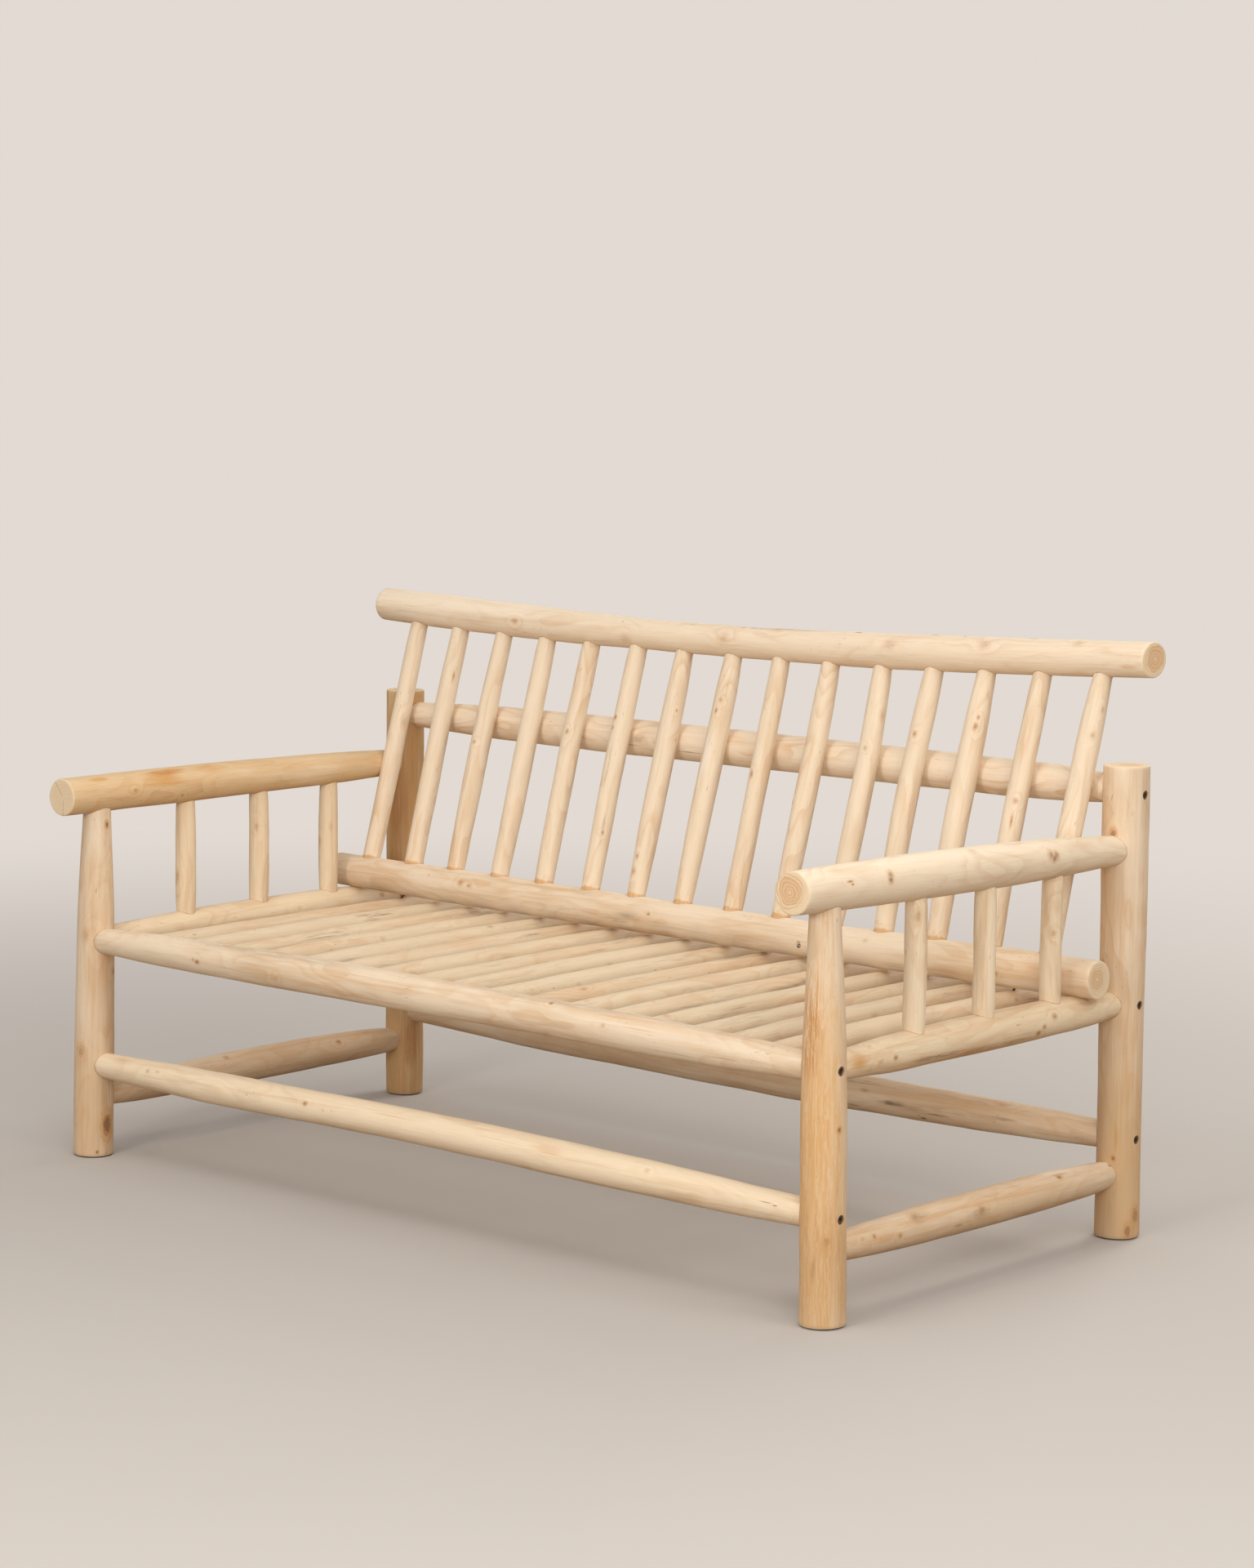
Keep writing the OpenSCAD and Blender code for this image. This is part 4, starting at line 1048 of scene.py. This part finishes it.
def make_back_spindles():
    for i, (belly, foot, head, bow) in enumerate(SPINDLES, 1):
        x = spindle_x(i)
        base = Vector((x, LADDER_Y, LADDER_Z))
        add_log(Log(
            "back_spindle_%02d" % i, base + LADDER_UP * SOCKET_FLOOR + Vector((foot, 0, 0)),
            base + LADDER_UP * (ladder_run(x) - SOCKET_FLOOR) + Vector((head, 0, 0)),
            through({0: 31, 0.1: 31.5, 0.3: belly, 0.55: belly + 0.5, 0.8: belly - 0.8, 0.93: 30.3,
                     1: 28.5}),
            FRONT, RIGHT, 100 + i, sides=40, step=7, lump=1.0, whittled=26,
            bends=[(90, bow, 1), (0, 0.25 * (i % 7) - 0.8, 1), (90, 0.8 - 0.12 * i, 2)],
            knots=SPINDLE_KNOTS.get(i, ()), random_knots=1, stains=[FOOT_RIM] + SPINDLE_STAINS.get(i, []),
            tan_share=0.12 + 0.03 * (i % 5), cream=(236, 216, 188), amber=0.02 + 0.02 * (i % 3),
            lines=0.3, grey=0.05), "spindles")


# Thin glue lines where one log enters another

GLUE_R = 0.42
# A log enters another within this many mm of its own end
ENTRY_REACH = 75


def ring_tube(shape, points, sides=6):
    """Adds a closed thin tube through points, in mm, to a bmesh."""
    count = len(points)
    rings = []
    for k, point in enumerate(points):
        ahead = (points[(k + 1) % count] - points[k - 1]).normalized()
        out = (ahead.orthogonal().normalized() if k == 0 else out - ahead * out.dot(ahead)).normalized()
        side = ahead.cross(out)
        rings.append([shape.verts.new((point + (out * math.cos(TAU * j / sides)
                                                + side * math.sin(TAU * j / sides)) * GLUE_R) * MM)
                      for j in range(sides)])
    for low, high in zip(rings, rings[1:]):
        bridge(shape, low, high)
    # The last ring meets the first at the turn that fits best
    low, high = rings[-1], rings[0]
    bridge(shape, low, high, min(range(sides), key=lambda j: (high[j].co - low[0].co).length))


def entry_line(guest, at_end, host, steps=40, halvings=16):
    """Points where a log's surface enters another log."""
    points = []
    for k in range(steps):
        turn = TAU * k / steps
        inner, outer = (guest.length, guest.length - ENTRY_REACH) if at_end else (0, ENTRY_REACH)
        for _ in range(halvings):
            middle = (inner + outer) / 2
            if host.outside(guest.point(middle, turn)) > 0:
                outer = middle
            else:
                inner = middle
        points.append(guest.point((inner + outer) / 2, turn))
    return points


def find_joints():
    """Every joint: the log that enters, whether by its end b, and the log that it enters."""
    joints = []
    for side in ("left", "right"):
        front_leg, back_leg = "post_front_" + side, "post_back_" + side
        for rail in ("front_seat_rail", "front_stretcher"):
            joints.append((rail, side == "right", front_leg))
        for rail in ("rear_seat_rail", "rear_stretcher", "upper_back_rail"):
            joints.append((rail, side == "right", back_leg))
        for rail in ("side_seat_rail_", "side_stretcher_"):
            joints += [(rail + side, False, front_leg), (rail + side, True, back_leg)]
        joints += [("armrest_" + side, True, back_leg), (front_leg, True, "armrest_" + side)]
        for i in (1, 2, 3):
            spindle = "arm_spindle_%s_%d" % (side, i)
            joints += [(spindle, False, "side_seat_rail_" + side), (spindle, True, "armrest_" + side)]
    for i in range(1, SPINDLE_COUNT + 1):
        spindle = "back_spindle_%02d" % i
        joints += [(spindle, False, "backrest_bottom_rail"), (spindle, True, "backrest_top_rail")]
    for i in range(1, SLAT_COUNT + 1):
        slat = "seat_slat_%02d" % i
        joints += [(slat, False, "front_seat_rail"), (slat, True, "rear_seat_rail")]
    return joints


def make_joint_lines():
    shape = bmesh.new()
    for guest, at_end, host in find_joints():
        ring_tube(shape, entry_line(LOGS[guest], at_end, LOGS[host]))
    bmesh.ops.recalc_face_normals(shape, faces=shape.faces)
    mesh = to_mesh("joint_lines", shape)
    mesh.shade_smooth()
    mesh.materials.append(glue())
    finish_piece(link("joint_lines", mesh), "rails")


# Hardware

def turned(shape, origin, way, rows, sides):
    """Adds rings, each (height, radius) in mm, as a closed turned body. A ring's radius may vary."""
    turn = way.to_track_quat("Z", "Y").to_matrix()
    rings = []
    for h, r in rows:
        ring = []
        for k in range(sides):
            angle = TAU * k / sides
            reach = r(angle) if callable(r) else r
            ring.append(shape.verts.new((origin + turn @ Vector((
                reach * math.cos(angle), reach * math.sin(angle), h))) * MM))
        rings.append(ring)
    for low, high in zip(rings, rings[1:]):
        bridge(shape, low, high)
    shape.faces.new(rings[0])
    shape.faces.new(rings[-1])


def hexagon(across_flats):
    def radius(angle):
        return across_flats / 2 / math.cos(angle % (TAU / 6) - TAU / 12)
    return radius


def cross(size):
    """Radius of a cross-shaped recess with rounded arms."""
    def radius(angle):
        return size * (0.38 + 0.62 * abs(math.cos(2 * angle)) ** 3)
    return radius


def metal_piece(name, shape, material, node):
    bmesh.ops.recalc_face_normals(shape, faces=shape.faces)
    mesh = to_mesh(name, shape)
    mesh.shade_smooth()
    mesh.set_sharp_from_angle(angle=math.radians(30))
    mesh.materials.append(material)
    finish_piece(link(name, mesh), "bolts", node)


def make_bolts():
    """Bolts with chamfered round heads and hexagon sockets, sunk into the legs."""
    shape = bmesh.new()
    top, head_r, shank_r = BOLT_HEAD_H, BOLT_HEAD_R, BOLT_SHANK_R
    rows = [(-BOLT_LENGTH, shank_r - 0.8), (-BOLT_LENGTH + 0.8, shank_r), (-0.6, shank_r),
            (0, head_r - 0.3), (0.3, head_r), (top - 1.2, head_r), (top - 0.5, head_r - 0.3),
            (top, head_r - 1.1), (top, head_r - 2.0), (top, hexagon(6.4)), (top - 0.3, hexagon(6.0)),
            (top - 4, hexagon(6.0))]
    for (side, y, z), face in BOLT_FACES.items():
        origin = Vector((side * (face - BOLT_RECESS - BOLT_HEAD_H), y, z))
        turned(shape, origin, Vector((side, 0, 0)), rows, 36)
    metal_piece("bolts", shape, steel("dark_steel", ((92, 74, 60), (126, 102, 82)), 0.45), "frame_bolts")


def make_screws():
    """Flat-headed wood screws with threaded shanks and cross recesses."""
    shape = bmesh.new()
    pitch = 1.6
    for seat, way, length in SCREWS:
        rows = [(-length, 0.3), (-length + 4, 1.2)]
        for k in range(int((length - 16) / pitch)):
            h = -length + 5 + k * pitch
            rows += [(h, 1.25), (h + 0.7, 1.85), (h + 0.9, 1.85)]
        rows += [(-10, 1.5), (-2.6, 1.5), (-0.5, SCREW_HEAD_R - 0.3), (-0.2, SCREW_HEAD_R),
                 (0.1, SCREW_HEAD_R - 0.1), (0.3, SCREW_HEAD_R - 0.6), (0.3, cross(2.5)), (-0.9, cross(2.2))]
        turned(shape, seat, way, rows, 24)
    metal_piece("screws", shape, steel("screw_steel", ((58, 45, 36), (92, 72, 54)), 0.4), "backrest_screws")


def dress_hardware():
    for node, material in (("threaded_inserts", brass()), ("foot_glides", glide_plastic())):
        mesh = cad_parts[node].data
        mesh.materials.clear()
        mesh.materials.append(material)


# Camera, floor, light and world

BACKDROP = (226, 218, 211)
FLOOR = (196, 188, 180)
FLOOR_BOUNCE = (142, 125, 108)
# The floor's radius, and where it starts and ends to fade into the backdrop, in metres
FLOOR_R = 40
FLOOR_FADE = (1.2, 4.4)
# The light from all round
SKY = (0.98, 0.975, 0.97, 1)
SKY_STRENGTH = 0.54

# Each lamp's azimuth from the front and elevation in degrees, diameter in metres, watts and colour
LAMPS = {
    "key": (9, 12, 0.8, 48, (1.0, 0.99, 0.975)),
    "top": (10, 60, 2.4, 42, (1.0, 0.99, 0.975)),
    "fill": (50, 16, 2.4, 66, (1.0, 0.99, 0.975)),
    "right": (85, 40, 2.4, 40, (1.0, 0.99, 0.975)),
    "behind": (180, 30, 2.4, 72, (1.0, 0.99, 0.98)),
}
LAMP_DISTANCE = 4.8
LAMP_TARGET = (0, 0, 0.4)


def make_camera():
    data = bpy.data.cameras.new("camera")
    data.sensor_width = 36
    data.lens = CAMERA_LENS
    camera = link("camera", data)
    camera.location = Vector(CAMERA_PLACE) * MM
    pitch, yaw, roll = (math.radians(angle) for angle in CAMERA_TURN)
    camera.rotation_mode = "QUATERNION"
    turn = Matrix.Rotation(yaw, 3, "Z") @ Matrix.Rotation(math.pi / 2 - pitch, 3, "X")
    camera.rotation_quaternion = (turn @ Matrix.Rotation(roll, 3, "Z")).to_quaternion()
    bpy.context.scene.camera = camera


def make_floor():
    shape = bmesh.new()
    bmesh.ops.create_circle(shape, cap_ends=True, segments=96, radius=FLOOR_R)
    floor = link("floor", to_mesh("floor", shape))
    n = Material("floor")
    n.set("Roughness", 0.9)
    n.set("Specular IOR Level", 0.1)
    # It looks pale, but throws back onto the sofa only as much light as a stone floor does
    seen = n.node("LightPath").outputs["Is Camera Ray"]
    n.set("Base Color", n.mix(seen, srgb(*FLOOR_BOUNCE), srgb(*FLOOR)))
    # Far from the sofa the floor fades into the backdrop's colour, so that no horizon shows
    glow = n.node("Emission", srgb(*BACKDROP))
    far = n.rise(n.vector("LENGTH", n.position()), *FLOOR_FADE)
    fade = n.node("MixShader", n.times(far, seen), n.shader.outputs["BSDF"], glow.outputs[0])
    n.join(fade.outputs[0], n.output.inputs["Surface"])
    floor.data.materials.append(n.material)


def make_lamps():
    for name, (azimuth, elevation, size, power, colour) in LAMPS.items():
        data = bpy.data.lights.new(name, "AREA")
        data.shape, data.size, data.energy, data.color = "DISK", size, power, colour
        lamp = link(name, data)
        a, e = math.radians(azimuth), math.radians(elevation)
        back = Vector((math.sin(a) * math.cos(e), -math.cos(a) * math.cos(e), math.sin(e)))
        lamp.location = Vector(LAMP_TARGET) + back * LAMP_DISTANCE
        lamp.rotation_mode = "QUATERNION"
        lamp.rotation_quaternion = (-back).to_track_quat("-Z", "Y")


def make_world():
    """A soft pale light all round, and the backdrop's colour where it is seen or mirrored."""
    world = bpy.data.worlds.new("world")
    bpy.context.scene.world = world
    n = Nodes(world)
    light = n.node("Background", SKY, SKY_STRENGTH)
    backdrop = n.node("Background", srgb(*BACKDROP), 1.0)
    path = n.node("LightPath")
    seen = path.outputs["Is Camera Ray"]
    for ray in ("Is Glossy Ray", "Is Transmission Ray"):
        seen = n.math("MAXIMUM", seen, path.outputs[ray])
    mix = n.node("MixShader", seen, light.outputs[0], backdrop.outputs[0])
    n.node("OutputWorld", mix.outputs[0])


make_camera()
make_front_legs()
make_back_legs()
make_armrests()
make_arm_spindles()
make_seat_rails()
make_side_seat_rails()
make_long_stretchers()
make_side_stretchers()
make_upper_rail()
make_bottom_rail()
make_top_rail()
make_back_spindles()
make_slats()
make_joint_lines()
make_bolts()
make_screws()
dress_hardware()
make_floor()
make_lamps()
make_world()
bpy.context.scene.view_settings.view_transform = "Standard"
